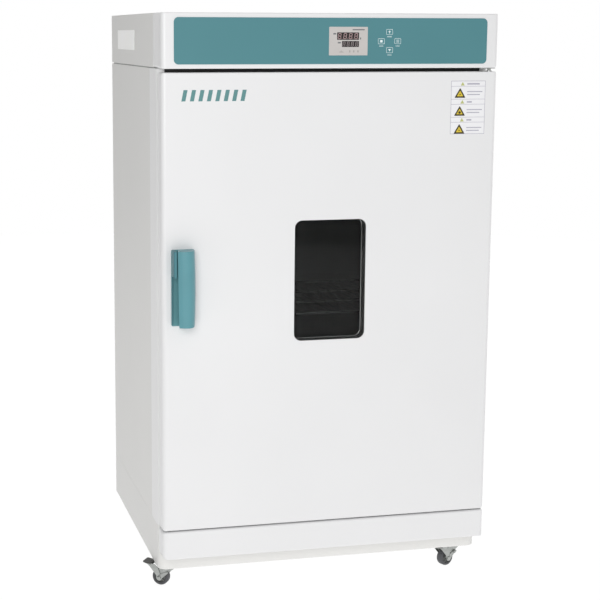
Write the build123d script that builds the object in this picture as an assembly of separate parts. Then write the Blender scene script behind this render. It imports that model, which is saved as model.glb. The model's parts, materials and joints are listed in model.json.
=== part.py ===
from build123d import *
import math
import os

# Laboratory incubator on castors: a sheet-metal cabinet with a heated, fan-stirred
# stainless chamber, an insulated door with a window, and a control header on top.
# Millimetres.  X runs to the right of someone facing the door, Y runs from the door
# towards the back, Z up from the floor.  The model is drawn with the door's front
# face at y = 0 and is shifted at the end so that the origin is on the floor at the
# middle of the overall box.

# ------------------------------------------------------------ driving dimensions
WIDTH = 780.0               # cabinet width
HALF = WIDTH / 2
DEPTH = 669.0               # door front to rear panel
TOP = 1328.2                # overall height
SHEET = 1.5                 # door, frame and base sheet
THIN = 1.2                  # side, rear and header sheet
LINER = 1.0                 # stainless chamber sheet

FRONT_Y = 48.0              # cabinet front plane behind the door
DOOR_Y = 41.0               # door slab thickness
CORNER_R = 20.0             # cabinet front vertical corners
EDGE_R = 12.0               # door, header and kick panel vertical edges
LIP_R = 2.8                 # door, header and kick panel horizontal edges

CASTOR_H = 58.0             # floor to underside of the base
BASE_Z = (58.0, 163.0)
KICK_Z = (97.0, 163.0)
DOOR_Z = (166.3, 1200.2)
BODY_TOP = 1207.0
HEAD_Z = (1209.6, 1328.2)
FASCIA_Y = 89.0             # depth of the header fascia

COLUMN_Y = 133.5            # rear edge of the front frame's side returns
CHAMBER_X = 316.0           # chamber half width
CHAMBER_Y = (49.6, 551.0)
CHAMBER_Z = (226.0, 1140.0)
DUCT_Y = 524.0              # front face of the rear duct plate

HINGE = (378.0, 22.0)       # door hinge axis
HINGE_R = 4.0               # hinge pin radius
RUN = 0.07                  # running clearance on a radius

WIN_X = (-85.0, 82.0)       # door window
WIN_Z = (595.0, 870.0)
WIN_R = 17.0

OVERLAY = (361.0, 1217.0, 1318.0, 10.0)      # half width, low, high, corner radius
DISPLAY = (-14.0, 80.0, 1236.5, 1299.5)
LED_ROWS = ((7.4, 58.7, 1271.8, 1288.5), (19.1, 58.7, 1255.4, 1268.7))
KEYS = {"key_up": (129.7, 1289.0), "key_left": (110.8, 1268.8),
        "key_right": (149.2, 1269.1), "key_down": (130.4, 1249.2)}
KEY_SIZE = (16.4, 13.5, 2.2)
KEY_TRAVEL = 0.4

HANDLE_X = (-368.5, -316.5)
HANDLE_Z = (642.0, 813.0)
LEVER_AXIS = (-324.0, -10.0)
LEVER_TURN = 12.0
LATCH_Z = 730.0
LATCH_STROKE = 5.0

SHELF_Z = (430.0, 640.0, 900.0)              # underside of each shelf
SHELF_X = 305.0
SHELF_Y = (76.0, 506.0)
SHELF_ROD = 3.0                              # shelf rim rod radius
SHELF_WIRE = 1.5                             # shelf wire radius
RAIL_Y = (110.0, 470.0)

FAN = (0.0, 683.0)                           # fan axis x, z
FAN_R = 75.0

WHEEL_R = 20.0
WHEEL_W = 17.0
TRAIL = 25.0
AXLE_R = 3.0
CASTOR_X = 352.0
CASTOR_Y = (96.0, 574.0)
CASTOR_TURN = {"front_left": math.degrees(math.atan2(0.57, -0.82)),
               "front_right": math.degrees(math.atan2(-0.40, -0.92)),
               "rear_left": 62.0,
               "rear_right": math.degrees(math.atan2(-0.57, 0.82))}
CASTOR_AT = {"front_left": (-CASTOR_X, CASTOR_Y[0]), "front_right": (CASTOR_X, CASTOR_Y[0]),
             "rear_left": (-CASTOR_X, CASTOR_Y[1]), "rear_right": (CASTOR_X, CASTOR_Y[1])}

BRAKE_TURN = 18.0                            # castor brake pedal's travel
INLET = (-300.0, 1262.0)                     # rear mains module centre
ROCKER_TURN = 18.0
LEVER_FRONT = -38.5                          # top of the handle's curved front
FRONT_PROUD = -39.04                         # most proud point of the handle
REAR_PROUD = 671.5                           # rear face of the mains module's bezel
SHIFT_Y = -(FRONT_PROUD + REAR_PROUD) / 2

NODES = {}


# ------------------------------------------------------------ helpers
def blk(x0, x1, y0, y1, z0, z1):
    return Pos((x0 + x1) / 2, (y0 + y1) / 2, (z0 + z1) / 2) * Box(x1 - x0, y1 - y0, z1 - z0)


def rod_x(x0, x1, y, z, r):
    return Pos((x0 + x1) / 2, y, z) * Rot(0, 90, 0) * Cylinder(r, x1 - x0)


def rod_y(x, y0, y1, z, r):
    return Pos(x, (y0 + y1) / 2, z) * Rot(90, 0, 0) * Cylinder(r, y1 - y0)


def rod_z(x, y, z0, z1, r):
    return Pos(x, y, (z0 + z1) / 2) * Cylinder(r, z1 - z0)


def plate_y(x0, x1, z0, z1, y0, y1, r):
    """A rounded rectangle in the XZ plane, drawn out along Y."""
    face = Plane(origin=((x0 + x1) / 2, y0, (z0 + z1) / 2), x_dir=(1, 0, 0), z_dir=(0, 1, 0)) * RectangleRounded(x1 - x0, z1 - z0, r)
    return extrude(face, y1 - y0)


def ring_y(x0, x1, z0, z1, y0, y1, r, w):
    """A rounded rectangular ring of width w, drawn out along Y."""
    return plate_y(x0, x1, z0, z1, y0, y1, r) - plate_y(x0 + w, x1 - w, z0 + w, z1 - w, y0 - 1, y1 + 1, max(r - w, 0.5))


def poly(points, way):
    """A closed polygon of 3-D points, drawn out along a vector."""
    face = Face(Wire.make_polygon([Vector(*p) for p in points], close=True))
    return Solid.extrude(face, Vector(*way))


def pan(x0, x1, z0, z1, y0, y1, t, low_r=0.0):
    """A folded pan with its face at y0, open at y1: rounded vertical edges, small
    radius along its top and bottom, and optional rounded lower corners."""
    outer = blk(x0, x1, y0, y1, z0, z1)
    if low_r:
        outer = fillet([e for e in outer.edges().filter_by(Axis.Y) if e.center().Z < z0 + 1], low_r)
        face = outer.faces().sort_by(Axis.Y)[0]
        outer = fillet(face.edges(), 4.5)
        inner = blk(x0 + t, x1 - t, y0 + t, y1 + 5, z0 + t, z1 - t)
        inner = fillet([e for e in inner.edges().filter_by(Axis.Y) if e.center().Z < z0 + t + 1], low_r - t)
        inner = fillet(inner.faces().sort_by(Axis.Y)[0].edges(), 3.4)
        return outer - inner
    outer = fillet([e for e in outer.edges().filter_by(Axis.Z) if e.center().Y < y0 + 1], EDGE_R)
    rims = []
    for zz in (z0, z1):
        rims += [e for e in outer.edges() if abs(e.bounding_box().min.Z - zz) < 1e-4
                 and abs(e.bounding_box().max.Z - zz) < 1e-4 and e.center().Y < y1 - 1e-3]
    outer = fillet(rims, LIP_R)
    inner = blk(x0 + t, x1 - t, y0 + t, y1 + 5, z0 + t, z1 - t)
    inner = fillet([e for e in inner.edges().filter_by(Axis.Z) if e.center().Y < y0 + t + 1], EDGE_R - t)
    return outer - inner


def put(name, *shapes):
    """Keep a node as its separate solids, moved into the final frame."""
    solids = []
    for s in shapes:
        solids += (Pos(0, SHIFT_Y, 0) * s).solids()
    NODES[name] = Compound(solids) if len(solids) > 1 else solids[0]


def pan_screw(x, y, z, way, shank, r=4.0, h=2.2):
    """A cross-recess pan-head screw with its head bearing on (x, y, z); way is the
    direction the head points: '+y', '-y', '-z' or '+z'."""
    head = Pos(0, 0, h / 2) * Cylinder(r, h)
    head = fillet(head.edges().sort_by(Axis.Z)[-1], 1.2)
    head -= Pos(0, 0, h) * Box(r * 1.1, 0.9, 2.0) + Pos(0, 0, h) * Box(0.9, r * 1.1, 2.0)
    s = head + Pos(0, 0, -shank / 2) * Cylinder(r * 0.5, shank)
    turn = {"+y": Rot(-90, 0, 0), "-y": Rot(90, 0, 0), "+z": Rot(0, 0, 0), "-z": Rot(180, 0, 0)}[way]
    return Pos(x, y, z) * turn * s


screws = []

# ------------------------------------------------------------ base and kick panel
base = blk(-HALF, HALF, FRONT_Y, DEPTH, *BASE_Z)
base = fillet([e for e in base.edges().filter_by(Axis.Z) if e.center().Y < FRONT_Y + 1], CORNER_R)
hollow = blk(-HALF + SHEET, HALF - SHEET, FRONT_Y + SHEET, DEPTH - SHEET, BASE_Z[0] + 2.5, BASE_Z[1] + 5)
hollow = fillet([e for e in hollow.edges().filter_by(Axis.Z) if e.center().Y < FRONT_Y + SHEET + 1], CORNER_R - SHEET)
base -= hollow
SCREW_AT = [(a, b) for a in (-15.0, 15.0) for b in (-15.0, 15.0)]
for cx, cy in CASTOR_AT.values():
    for a, b in SCREW_AT:
        base -= rod_z(cx + a, cy + b, BASE_Z[0] - 1, BASE_Z[0] + 4, 2.6)
put("base_pan", base)

kick = pan(-HALF, HALF, KICK_Z[0], KICK_Z[1] - 0.2, 0, FRONT_Y - 0.1, THIN, low_r=12.0)
put("kick_panel", kick)

# ------------------------------------------------------------ front frame
fz0, fz1 = BASE_Z[1], BODY_TOP
post = blk(-HALF, -CHAMBER_X, FRONT_Y, COLUMN_Y, fz0, fz1)
post = fillet([e for e in post.edges().filter_by(Axis.Z) if e.center().Y < FRONT_Y + 1 and e.center().X < -HALF + 1], CORNER_R)
core = blk(-HALF + SHEET, -CHAMBER_X + 5, FRONT_Y + SHEET, COLUMN_Y - SHEET, fz0 - 5, fz1 + 5)
core = fillet([e for e in core.edges().filter_by(Axis.Z) if e.center().Y < FRONT_Y + SHEET + 1 and e.center().X < -HALF + SHEET + 1], CORNER_R - SHEET)
post = post - core - blk(-374, -300, COLUMN_Y - 3, COLUMN_Y + 3, fz0 - 5, fz1 + 5) - blk(-HALF + SHEET, -300, 60, COLUMN_Y + 3, fz1 - 1.7, fz1 + 5)
left_post = post - blk(-348.5, -326.5, FRONT_Y - 2, FRONT_Y + 4, LATCH_Z - 9, LATCH_Z + 9)
right_post = mirror(post, Plane.YZ)
head = blk(-CHAMBER_X, CHAMBER_X, FRONT_Y, FRONT_Y + SHEET, CHAMBER_Z[1], fz1) + blk(-CHAMBER_X, CHAMBER_X, FRONT_Y, 62, fz1 - SHEET, fz1)
sill = blk(-CHAMBER_X, CHAMBER_X, FRONT_Y, FRONT_Y + SHEET, fz0, CHAMBER_Z[0]) + blk(-CHAMBER_X, CHAMBER_X, FRONT_Y, 62, fz0, fz0 + SHEET)
put("front_frame", left_post, right_post, head, sill)

# ------------------------------------------------------------ side, rear and top panels
def side(sign):
    p = blk(-HALF, -HALF + THIN, COLUMN_Y + 1.2, DEPTH - THIN - 0.1, BASE_Z[1] + 0.5, BODY_TOP)
    p += blk(-HALF, -374, COLUMN_Y + 1.2, COLUMN_Y + 1.2 + THIN, BASE_Z[1] + 0.5, BODY_TOP - 1.7)
    p += blk(-HALF, -368, DEPTH - 2 * THIN - 0.1, DEPTH - THIN - 0.1, BASE_Z[1] + 0.5, BODY_TOP - 1.7)
    for z in (200, 430, 685, 940, 1170):
        p -= rod_y(-379, DEPTH - 5, DEPTH + 1, z, 2.05)
    return p if sign < 0 else mirror(p, Plane.YZ)


put("side_panel_left", side(-1))
put("side_panel_right", side(1))

rear = blk(-HALF, HALF, DEPTH - THIN, DEPTH, BASE_Z[1] + 0.5, BODY_TOP)
for x in (-379, 379):
    for z in (200, 430, 685, 940, 1170):
        rear -= rod_y(x, DEPTH - 5, DEPTH + 1, z, 2.15)
        screws.append(pan_screw(x, DEPTH, z, "+y", 4.0))
for i in range(7):                     # vent slots over the fan motor
    for sx in (-1, 1):
        rear -= plate_y(sx * 42 - 32, sx * 42 + 32, FAN[1] - 38 + i * 12 - 2, FAN[1] - 38 + i * 12 + 2, DEPTH - 5, DEPTH + 5, 1.95)
put("rear_panel", rear)

put("body_top_plate", blk(-HALF + SHEET + 0.1, HALF - SHEET - 0.1, 62.1, DEPTH - THIN - 0.2, BODY_TOP - SHEET, BODY_TOP))

# ------------------------------------------------------------ chamber
cx0, cx1 = -CHAMBER_X, CHAMBER_X
cy0, cy1 = CHAMBER_Y
cz0, cz1 = CHAMBER_Z
wall_left = blk(cx0 - LINER, cx0, cy0, cy1, cz0 - LINER, cz1 + LINER)
wall_right = blk(cx1, cx1 + LINER, cy0, cy1, cz0 - LINER, cz1 + LINER)
wall_top = blk(cx0, cx1, cy0, cy1, cz1, cz1 + LINER)
wall_floor = blk(cx0, cx1, cy0, cy1, cz0 - LINER, cz0)
wall_rear = blk(cx0 - LINER, cx1 + LINER, cy1, cy1 + LINER, cz0 - LINER, cz1 + LINER)
wall_rear -= rod_y(FAN[0], cy1 - 5, cy1 + 5, FAN[1], 10)
HEAT_LEG = ((-30.0, FAN[1] - 95.4), (30.0, FAN[1] - 95.4))
for x, z in HEAT_LEG:
    wall_rear -= rod_y(x, cy1 - 5, cy1 + 5, z, 4.4)
PROBE = (200.0, 1070.0)
wall_rear -= rod_y(PROBE[0], cy1 - 5, cy1 + 5, PROBE[1], 4.2)
put("chamber_liner", wall_left, wall_right, wall_top, wall_floor, wall_rear)

MAT = 25.0
g = 0.3
mat_left = blk(cx0 - LINER - g - MAT, cx0 - LINER - g, 62, cy1, cz0, cz1)
mat_right = blk(cx1 + LINER + g, cx1 + LINER + g + MAT, 62, cy1, cz0, cz1)
mat_top = blk(cx0, cx1, 62, cy1, cz1 + LINER + g, cz1 + LINER + g + MAT)
mat_floor = blk(cx0, cx1, 64, cy1, cz0 - LINER - g - MAT, cz0 - LINER - g)
mat_rear = blk(cx0, cx1, cy1 + LINER + g, cy1 + LINER + g + MAT, cz0, cz1) - rod_y(FAN[0], cy1, cy1 + 60, FAN[1], 62)
for x, z in HEAT_LEG:
    mat_rear -= rod_y(x, cy1, cy1 + 60, z, 8)
mat_rear -= rod_y(PROBE[0], cy1, cy1 + 60, PROBE[1], 10)
put("insulation_mats", mat_left, mat_right, mat_top, mat_floor, mat_rear)

# rear duct plate: air intake holes in front of the fan, outlet slots at both sides
dx, dz0, dz1 = 296.0, 250.0, 1116.0
duct = blk(-dx, dx, DUCT_Y, DUCT_Y + LINER, dz0, dz1)
cuts = []
for n, rad in ((1, 0), (6, 19), (12, 38), (18, 57)):
    for i in range(n):
        a = 2 * math.pi * i / n
        cuts.append(rod_y(FAN[0] + rad * math.cos(a), DUCT_Y - 3, DUCT_Y + 4, FAN[1] + rad * math.sin(a), 6))
for i in range(13):
    for sx in (-1, 1):
        z = 305 + i * 63
        cuts.append(plate_y(sx * 255 - 22, sx * 255 + 22, z - 4, z + 4, DUCT_Y - 3, DUCT_Y + 4, 3.9))
cuts.append(rod_y(PROBE[0], DUCT_Y - 3, DUCT_Y + 4, PROBE[1], 5))
duct -= cuts
duct += blk(-dx, -dx + LINER, DUCT_Y + LINER, cy1 - 0.1, dz0, dz1)
duct += blk(dx - LINER, dx, DUCT_Y + LINER, cy1 - 0.1, dz0, dz1)
put("rear_duct_plate", duct)

# slotted shelf rails, two on each side
def rail(sign, y):
    web = blk(-308.0 - 1.2, -308.0, y - 10, y + 10, 248, 1118)
    slots = []
    for i in range(28):
        z = 272 + i * 30.0
        slots.append(blk(-312, -305, y - 4.5, y + 4.5, z - 5, z + 5))
    web -= slots
    web += blk(cx0 + 0.05, -308.0 - 1.2, y - 10, y - 8.8, 248, 1118)
    web += blk(cx0 + 0.05, -308.0 - 1.2, y + 8.8, y + 10, 248, 1118)
    return web if sign < 0 else mirror(web, Plane.YZ)


put("shelf_rails", *[rail(s, y) for s in (-1, 1) for y in RAIL_Y])


def clip(sign, y, z):
    c = blk(-307.9, -306.7, y - 7, y + 7, z - 16, z)
    c += blk(-306.7, -292.0, y - 7, y + 7, z - 1.5, z)
    c += blk(-314.0, -307.9, y - 4, y + 4, z - 12, z - 9)
    return c if sign < 0 else mirror(c, Plane.YZ)


clips = []
for z in SHELF_Z:
    for s in (-1, 1):
        for y in RAIL_Y:
            clips.append(clip(s, y, z - 0.05))
# each clip's hook sits in the nearest slot of its rail, so the slots are opened there
rails = [rail(s, y) for s in (-1, 1) for y in RAIL_Y]
opened = []
for r in rails:
    bb = r.bounding_box()
    for z in SHELF_Z:
        ymid = (bb.min.Y + bb.max.Y) / 2
        r = r - blk(bb.min.X - 1, bb.max.X + 1, ymid - 4.5, ymid + 4.5, z - 14, z - 7)
    opened.append(r)
put("shelf_rails", *opened)
put("shelf_clips", *clips)


def shelf(z):
    y0, y1 = SHELF_Y
    r = SHELF_ROD
    zc = z + r
    s = rod_x(-SHELF_X + r, SHELF_X - r, y0 + r, zc, r)
    s += rod_x(-SHELF_X + r, SHELF_X - r, y1 - r, zc, r)
    s += rod_y(-SHELF_X + r, y0 + r, y1 - r, zc, r)
    s += rod_y(SHELF_X - r, y0 + r, y1 - r, zc, r)
    for sx in (-1, 1):
        for yy in (y0 + r, y1 - r):
            s += Pos(sx * (SHELF_X - r), yy, zc) * Sphere(r)
    for y in (y0 + 145.0, y1 - 145.0):
        s += rod_x(-SHELF_X + r, SHELF_X - r, y, zc, 2.0)
    n = 23
    step = (2 * SHELF_X - 2 * r) / (n + 1)
    wires = [rod_y(-SHELF_X + r + step * (i + 1), y0 + 1.0, y1 - 1.0, zc + 2.4, SHELF_WIRE) for i in range(n)]
    s += wires
    return s


for i, z in enumerate(SHELF_Z):
    put("shelf_" + ("lower", "middle", "upper")[i], shelf(z))

# ------------------------------------------------------------ fan, heater, probe
motor = rod_y(FAN[0], cy1 + LINER + 4, cy1 + LINER + 74, FAN[1], 40)
motor = fillet(motor.edges().filter_by(GeomType.CIRCLE), 4)
motor += rod_y(FAN[0], cy1 + LINER, cy1 + LINER + 4, FAN[1], 56)
motor -= rod_y(FAN[0], cy1 - 5, cy1 + LINER + 50, FAN[1], 4.0 + RUN)
put("fan_motor", motor)

hub_y = (DUCT_Y + LINER + 3.5, cy1 - 2.5)
fan = rod_y(FAN[0], cy1 - 4.0, cy1 - 2.5, FAN[1], FAN_R)
fan += rod_y(FAN[0], hub_y[0], cy1 - 4.0, FAN[1], 14)
for i in range(12):
    fan += Pos(FAN[0], 0, FAN[1]) * Rot(0, 30 * i, 0) * Pos(52, (hub_y[0] + cy1 - 4.0) / 2, 0) * Rot(0, 24, 0) * Box(42, cy1 - 4.0 - hub_y[0], 1.2)
fan += rod_y(FAN[0], cy1 - 4.0, cy1 + LINER + 44, FAN[1], 4.0)
put("fan_impeller", fan)

heat_y = (DUCT_Y + LINER + cy1) / 2
heater = Pos(FAN[0], heat_y, FAN[1]) * Rot(90, 0, 0) * Torus(100, 4)
for x, z in HEAT_LEG:
    heater += rod_y(x, heat_y, cy1 + 24, z, 4.0)
put("heater_ring", heater)

probe = rod_y(PROBE[0], 470, cy1 + 30, PROBE[1], 3.0)
probe += Pos(PROBE[0], 470, PROBE[1]) * Sphere(3.0)
hexnut = Plane(origin=(PROBE[0], cy1 + LINER, PROBE[1]), x_dir=(1, 0, 0), z_dir=(0, 1, 0)) * RegularPolygon(8, 6)
probe += extrude(hexnut, 8)
put("temperature_probe", probe)

# ------------------------------------------------------------ door
dz = DOOR_Z
shell = pan(-HALF, HALF, dz[0], dz[1], 0, DOOR_Y, SHEET)
shell -= plate_y(WIN_X[0], WIN_X[1], WIN_Z[0], WIN_Z[1], -3, 5, WIN_R)
BUSH_R = 7.0
shell -= rod_z(HINGE[0], HINGE[1], dz[1] - 3, dz[1] + 3, BUSH_R + 0.1)
shell -= rod_z(HINGE[0], HINGE[1], dz[0] - 3, dz[0] + 3, BUSH_R + 0.1)
arm_slot = blk(-333.0, -320.0, -6, 5, LATCH_Z - 5.5, LATCH_Z + 5.5)
shell -= arm_slot
put("door_outer_shell", shell)

INNER_Y = DOOR_Y - SHEET
inner_pan = blk(-HALF + SHEET + 0.2, HALF - SHEET - 0.2, INNER_Y, DOOR_Y, dz[0] + SHEET + 0.2, dz[1] - SHEET - 0.2)
inner_pan -= plate_y(WIN_X[0], WIN_X[1], WIN_Z[0], WIN_Z[1], INNER_Y - 3, DOOR_Y + 3, WIN_R)
inner_pan -= blk(-347.0, -331.0, INNER_Y - 3, DOOR_Y + 3, LATCH_Z - 5.5, LATCH_Z + 5.5)
put("door_inner_pan", inner_pan)

wx0, wx1, wz0, wz1 = WIN_X[0], WIN_X[1], WIN_Z[0], WIN_Z[1]
fl = 11.0
tunnel = ring_y(wx0 - 1.2, wx1 + 1.2, wz0 - 1.2, wz1 + 1.2, 7.2, 34.0, WIN_R + 1.2, 1.2)
for y in (7.2, 32.8):
    tunnel += ring_y(wx0 - fl, wx1 + fl, wz0 - fl, wz1 + fl, y, y + 1.2, WIN_R + fl, fl - 0.0)
put("window_tunnel", tunnel)
pane = [plate_y(wx0 - 8, wx1 + 8, wz0 - 8, wz1 + 8, y, y + 4.0, WIN_R + 8) for y in (1.6, 34.4)]
put("window_glass_panes", *pane)
seal = [ring_y(wx0 - 9, wx1 + 9, wz0 - 9, wz1 + 9, y0, y1, WIN_R + 9, 9.0) for y0, y1 in ((5.65, 7.15), (38.45, 39.45))]
put("window_seals", *seal)

pad = blk(-378, 366, 18.5, 38.0, dz[0] + 12, dz[1] - 12)
pad -= blk(wx0 - 14, wx1 + 14, 0, 60, wz0 - 14, wz1 + 14)
pad -= blk(-362, -302, 0, 60, LATCH_Z - 32, LATCH_Z + 32)
pad -= blk(340, 380, 0, 60, dz[1] - 46, dz[1]) + blk(340, 380, 0, 60, dz[0], dz[0] + 46)
put("door_insulation", pad)

GASKET = (368.0, 15.0)
gz = (186.0, 1180.0)
gasket = ring_y(-GASKET[0], GASKET[0], gz[0], gz[1], DOOR_Y, FRONT_Y - 0.4, 12, GASKET[1])
gasket -= ring_y(-GASKET[0] + 4.5, GASKET[0] - 4.5, gz[0] + 4.5, gz[1] - 4.5, FRONT_Y - 2.4, FRONT_Y + 2, 7.5, 6.0)
put("door_gasket", gasket)

# hinge brackets with their pins, and the bushes in the door
top_bracket = blk(350, 389, 8, 112, BODY_TOP, BODY_TOP + 2.4)
top_bracket = fillet([e for e in top_bracket.edges().filter_by(Axis.Z) if e.center().Y < 20], 6)
top_bracket += rod_z(*HINGE, dz[1] - 18, BODY_TOP + 1, HINGE_R)
low_bracket = blk(350, 389, 8, FRONT_Y, BASE_Z[1] + 0.4, BASE_Z[1] + 2.8)
low_bracket = fillet([e for e in low_bracket.edges().filter_by(Axis.Z) if e.center().Y < 20], 6)
low_bracket += blk(350, 368, FRONT_Y - 2.4, FRONT_Y, BASE_Z[1] + 2.8, BASE_Z[1] + 21)
low_bracket += rod_z(*HINGE, BASE_Z[1] + 1, dz[0] + 19, HINGE_R)
put("hinge_brackets", top_bracket, low_bracket)
top_bush = rod_z(*HINGE, dz[1] - 22, dz[1] + 0.6, BUSH_R) - rod_z(*HINGE, dz[1] - 30, dz[1] + 5, HINGE_R + RUN)
low_bush = rod_z(*HINGE, dz[0] + 0.0, dz[0] + 22, BUSH_R) - rod_z(*HINGE, dz[0] - 5, dz[0] + 30, HINGE_R + RUN)
put("hinge_bushes", top_bush, low_bush)

# ------------------------------------------------------------ door handle and latch
hx0, hx1 = HANDLE_X
hz0, hz1 = HANDLE_Z
hb = plate_y(hx0, hx1, hz0, hz1, -4.5, 0.0, 3.0)
upper = poly([(hx0, -33, hz1), (hx0, -33, 755), (hx0 + 6, -33, 752.5), (hx0 + 8.3, -33, 759), (hx0 + 8.3, -33, hz1)], (0, 30, 0))
upper = fillet([e for e in upper.edges().filter_by(Axis.Z) if e.center().Y < -30 and e.center().X < hx0 + 1], 4)
hb += upper
hb += blk(hx0, hx0 + 2.5, -9.0, -3.0, hz0 + 3, 756)
lx, ly = LEVER_AXIS
for z in (hz0 + 7, hz1 - 12):
    hb += blk(lx - 5, lx + 0.8, -14.0, -3.0, z, z + 5)
hb += rod_z(lx, ly, hz0 + 9, hz1 - 9, 2.0)
hb -= blk(-333.0, -320.0, -4.6, 5, LATCH_Z - 5.5, LATCH_Z + 5.5)
put("handle_base", hb)

OUT = [(-316.5, -6.0), (-317.7, -17.0), (-323.0, -30.0), (-334.0, LEVER_FRONT), (-347.5, -37.2), (-358.6, -31.5)]
INN = [(-320.7, -6.0), (-321.9, -16.0), (-326.5, -27.0), (-334.8, -34.2), (-346.3, -33.2), (-355.8, -28.6)]


def section(points_out, points_in, z):
    a = Spline([(x, y, z) for x, y in points_out])
    b = Spline([(x, y, z) for x, y in points_in])
    c = Line((points_out[-1][0], points_out[-1][1], z), (points_in[-1][0], points_in[-1][1], z))
    d = Line((points_in[0][0], points_in[0][1], z), (points_out[0][0], points_out[0][1], z))
    return make_face([a, c, b, d])


lever = extrude(section(OUT, INN, hz0), hz1 - hz0, dir=(0, 0, 1))


def cap(z):
    a = Spline([(x, y, z) for x, y in OUT])
    p = [(OUT[-1][0], OUT[-1][1], z), (-354.0, -6.0, z), (OUT[0][0], OUT[0][1], z)]
    return extrude(make_face([a, Line(p[0], p[1]), Line(p[1], p[2])]), 4.5, dir=(0, 0, 1))


lever += cap(hz0)
lever += cap(hz1 - 4.5)
lever += rod_z(lx, ly, hz0 + 13, hz1 - 13, 4.2) + blk(lx, lx + 4.5, ly - 2, ly + 2, hz0 + 13, hz1 - 13)
lever += blk(lx - 2.0, lx + 2.0, ly, 17.0, LATCH_Z - 4, LATCH_Z + 4)
lever -= rod_z(lx, ly, hz0 + 5, hz1 - 5, 2.0 + RUN)
put("handle_lever", lever)

# latch tongue: a slide plate in the door, moved to the left by the lever's arm
tongue = blk(-341.5, -317.5, 9.0, 18.0, LATCH_Z - 4, LATCH_Z + 4)
tongue -= blk(-327.5, -320.5, 8.0, 19.0, LATCH_Z - 5, LATCH_Z + 5)
tongue += blk(-341.5, -317.5, 18.8, 21.5, LATCH_Z - 4, LATCH_Z + 4) + blk(-341.5, -329.5, 17.0, 20.0, LATCH_Z - 4, LATCH_Z + 4) + blk(-320.5, -317.5, 17.0, 20.0, LATCH_Z - 4, LATCH_Z + 4)
tongue += blk(-340.5, -333.5, 20.0, 55.0, LATCH_Z - 4, LATCH_Z + 4)
tongue += blk(-340.5, -329.7, 51.6, 55.0, LATCH_Z - 4, LATCH_Z + 4)
put("latch_tongue", tongue)
keeper = blk(-349.0, -323.0, FRONT_Y + SHEET, FRONT_Y + SHEET + 1.5, LATCH_Z - 24, LATCH_Z + 24)
keeper -= blk(-347.5, -328.7, FRONT_Y, FRONT_Y + 5, LATCH_Z - 8, LATCH_Z + 8)
put("latch_keeper", keeper)

# ------------------------------------------------------------ control header
fascia = pan(-HALF, HALF, HEAD_Z[0], HEAD_Z[1], 0, FASCIA_Y, THIN)
fascia -= blk(DISPLAY[0] + 4, DISPLAY[1] - 4, -3, 5, DISPLAY[2] + 4, DISPLAY[3] - 4)
put("header_fascia", fascia)

cover = blk(-HALF, HALF, FASCIA_Y + 0.3, DEPTH, *HEAD_Z)
cover = fillet([e for e in cover.edges().filter_by(Axis.Y) if e.center().Z > HEAD_Z[1] - 1], LIP_R)
cover -= blk(-HALF + THIN, HALF - THIN, FASCIA_Y - 5, DEPTH - THIN, HEAD_Z[0] - 5, HEAD_Z[1] - THIN)
ix, iz = INLET
cover -= blk(ix - 14.0, ix + 14.0, DEPTH - 5, DEPTH + 5, iz - 23.5, iz + 23.5)
for i in range(6):
    for k in range(3):
        xx = 60 + k * 95
        zz = 1236 + i * 12
        cover -= plate_y(xx - 36, xx + 36, zz - 2, zz + 2, DEPTH - 5, DEPTH + 5, 1.95)
for x in (-370, -125, 125, 370):
    for z in (1222.0, 1316.0):
        if z > 1300:
            screws.append(pan_screw(x, DEPTH, z, "+y", 3.5))
            cover -= rod_y(x, DEPTH - 5, DEPTH + 1, z, 2.1)
put("header_cover", cover)

tray = blk(-386, 386, 56, DEPTH - THIN - 3, BODY_TOP, BODY_TOP + 1.2)
tray += blk(-386, -384.8, FASCIA_Y + 3, DEPTH - THIN - 3, BODY_TOP, BODY_TOP + 22)
tray += blk(384.8, 386, FASCIA_Y + 3, DEPTH - THIN - 3, BODY_TOP, BODY_TOP + 22)
tray -= blk(347, 392, 40, 115, BODY_TOP - 1, BODY_TOP + 40)
put("control_tray", tray)

ow, oz0, oz1, orad = OVERLAY
overlay = plate_y(-ow, ow, oz0, oz1, -1.0, -0.0, orad)
overlay -= plate_y(DISPLAY[0], DISPLAY[1], DISPLAY[2], DISPLAY[3], -3, 3, 1.5)
kw, kh, kr = KEY_SIZE
for x, z in KEYS.values():
    overlay -= plate_y(x - kw / 2 - 0.15, x + kw / 2 + 0.15, z - kh / 2 - 0.15, z + kh / 2 + 0.15, -3, 3, kr + 0.1)
put("fascia_overlay", overlay)

plate = plate_y(DISPLAY[0] + 0.1, DISPLAY[1] - 0.1, DISPLAY[2] + 0.1, DISPLAY[3] - 0.1, -0.9, 0.0, 1.4)
for x0, x1, z0, z1 in LED_ROWS:
    plate -= blk(x0, x1, -3, 3, z0, z1)
put("display_plate", plate)
leds = [blk(x0 + 0.1, x1 - 0.1, -0.6, 8.0, z0 + 0.1, z1 - 0.1) for x0, x1, z0, z1 in LED_ROWS]
put("display_led_modules", *leds)
for name, (x, z) in KEYS.items():
    put(name, plate_y(x - kw / 2, x + kw / 2, z - kh / 2, z + kh / 2, -1.25, -0.5, kr))

board = plate_y(-60, 185, 1222, 1312, 8.4, 10.0, 3)
for x in (-52, 177):
    for z in (1230, 1304):
        board += rod_y(x, THIN + 0.02, 8.4, z, 3.0)
board += blk(-50, -22, 10, 22, 1240, 1268) + blk(-50, -30, 10, 19, 1276, 1296) + blk(95, 150, 10, 14, 1246, 1262)
put("control_board", board)
psu = blk(180, 290, 260, 420, BODY_TOP + 1.25, BODY_TOP + 42)
psu += blk(186, 284, 245, 260, BODY_TOP + 10, BODY_TOP + 26)
relay = blk(60, 105, 300, 358, BODY_TOP + 1.25, BODY_TOP + 30)
put("power_supply_and_relay", psu, relay)

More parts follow.
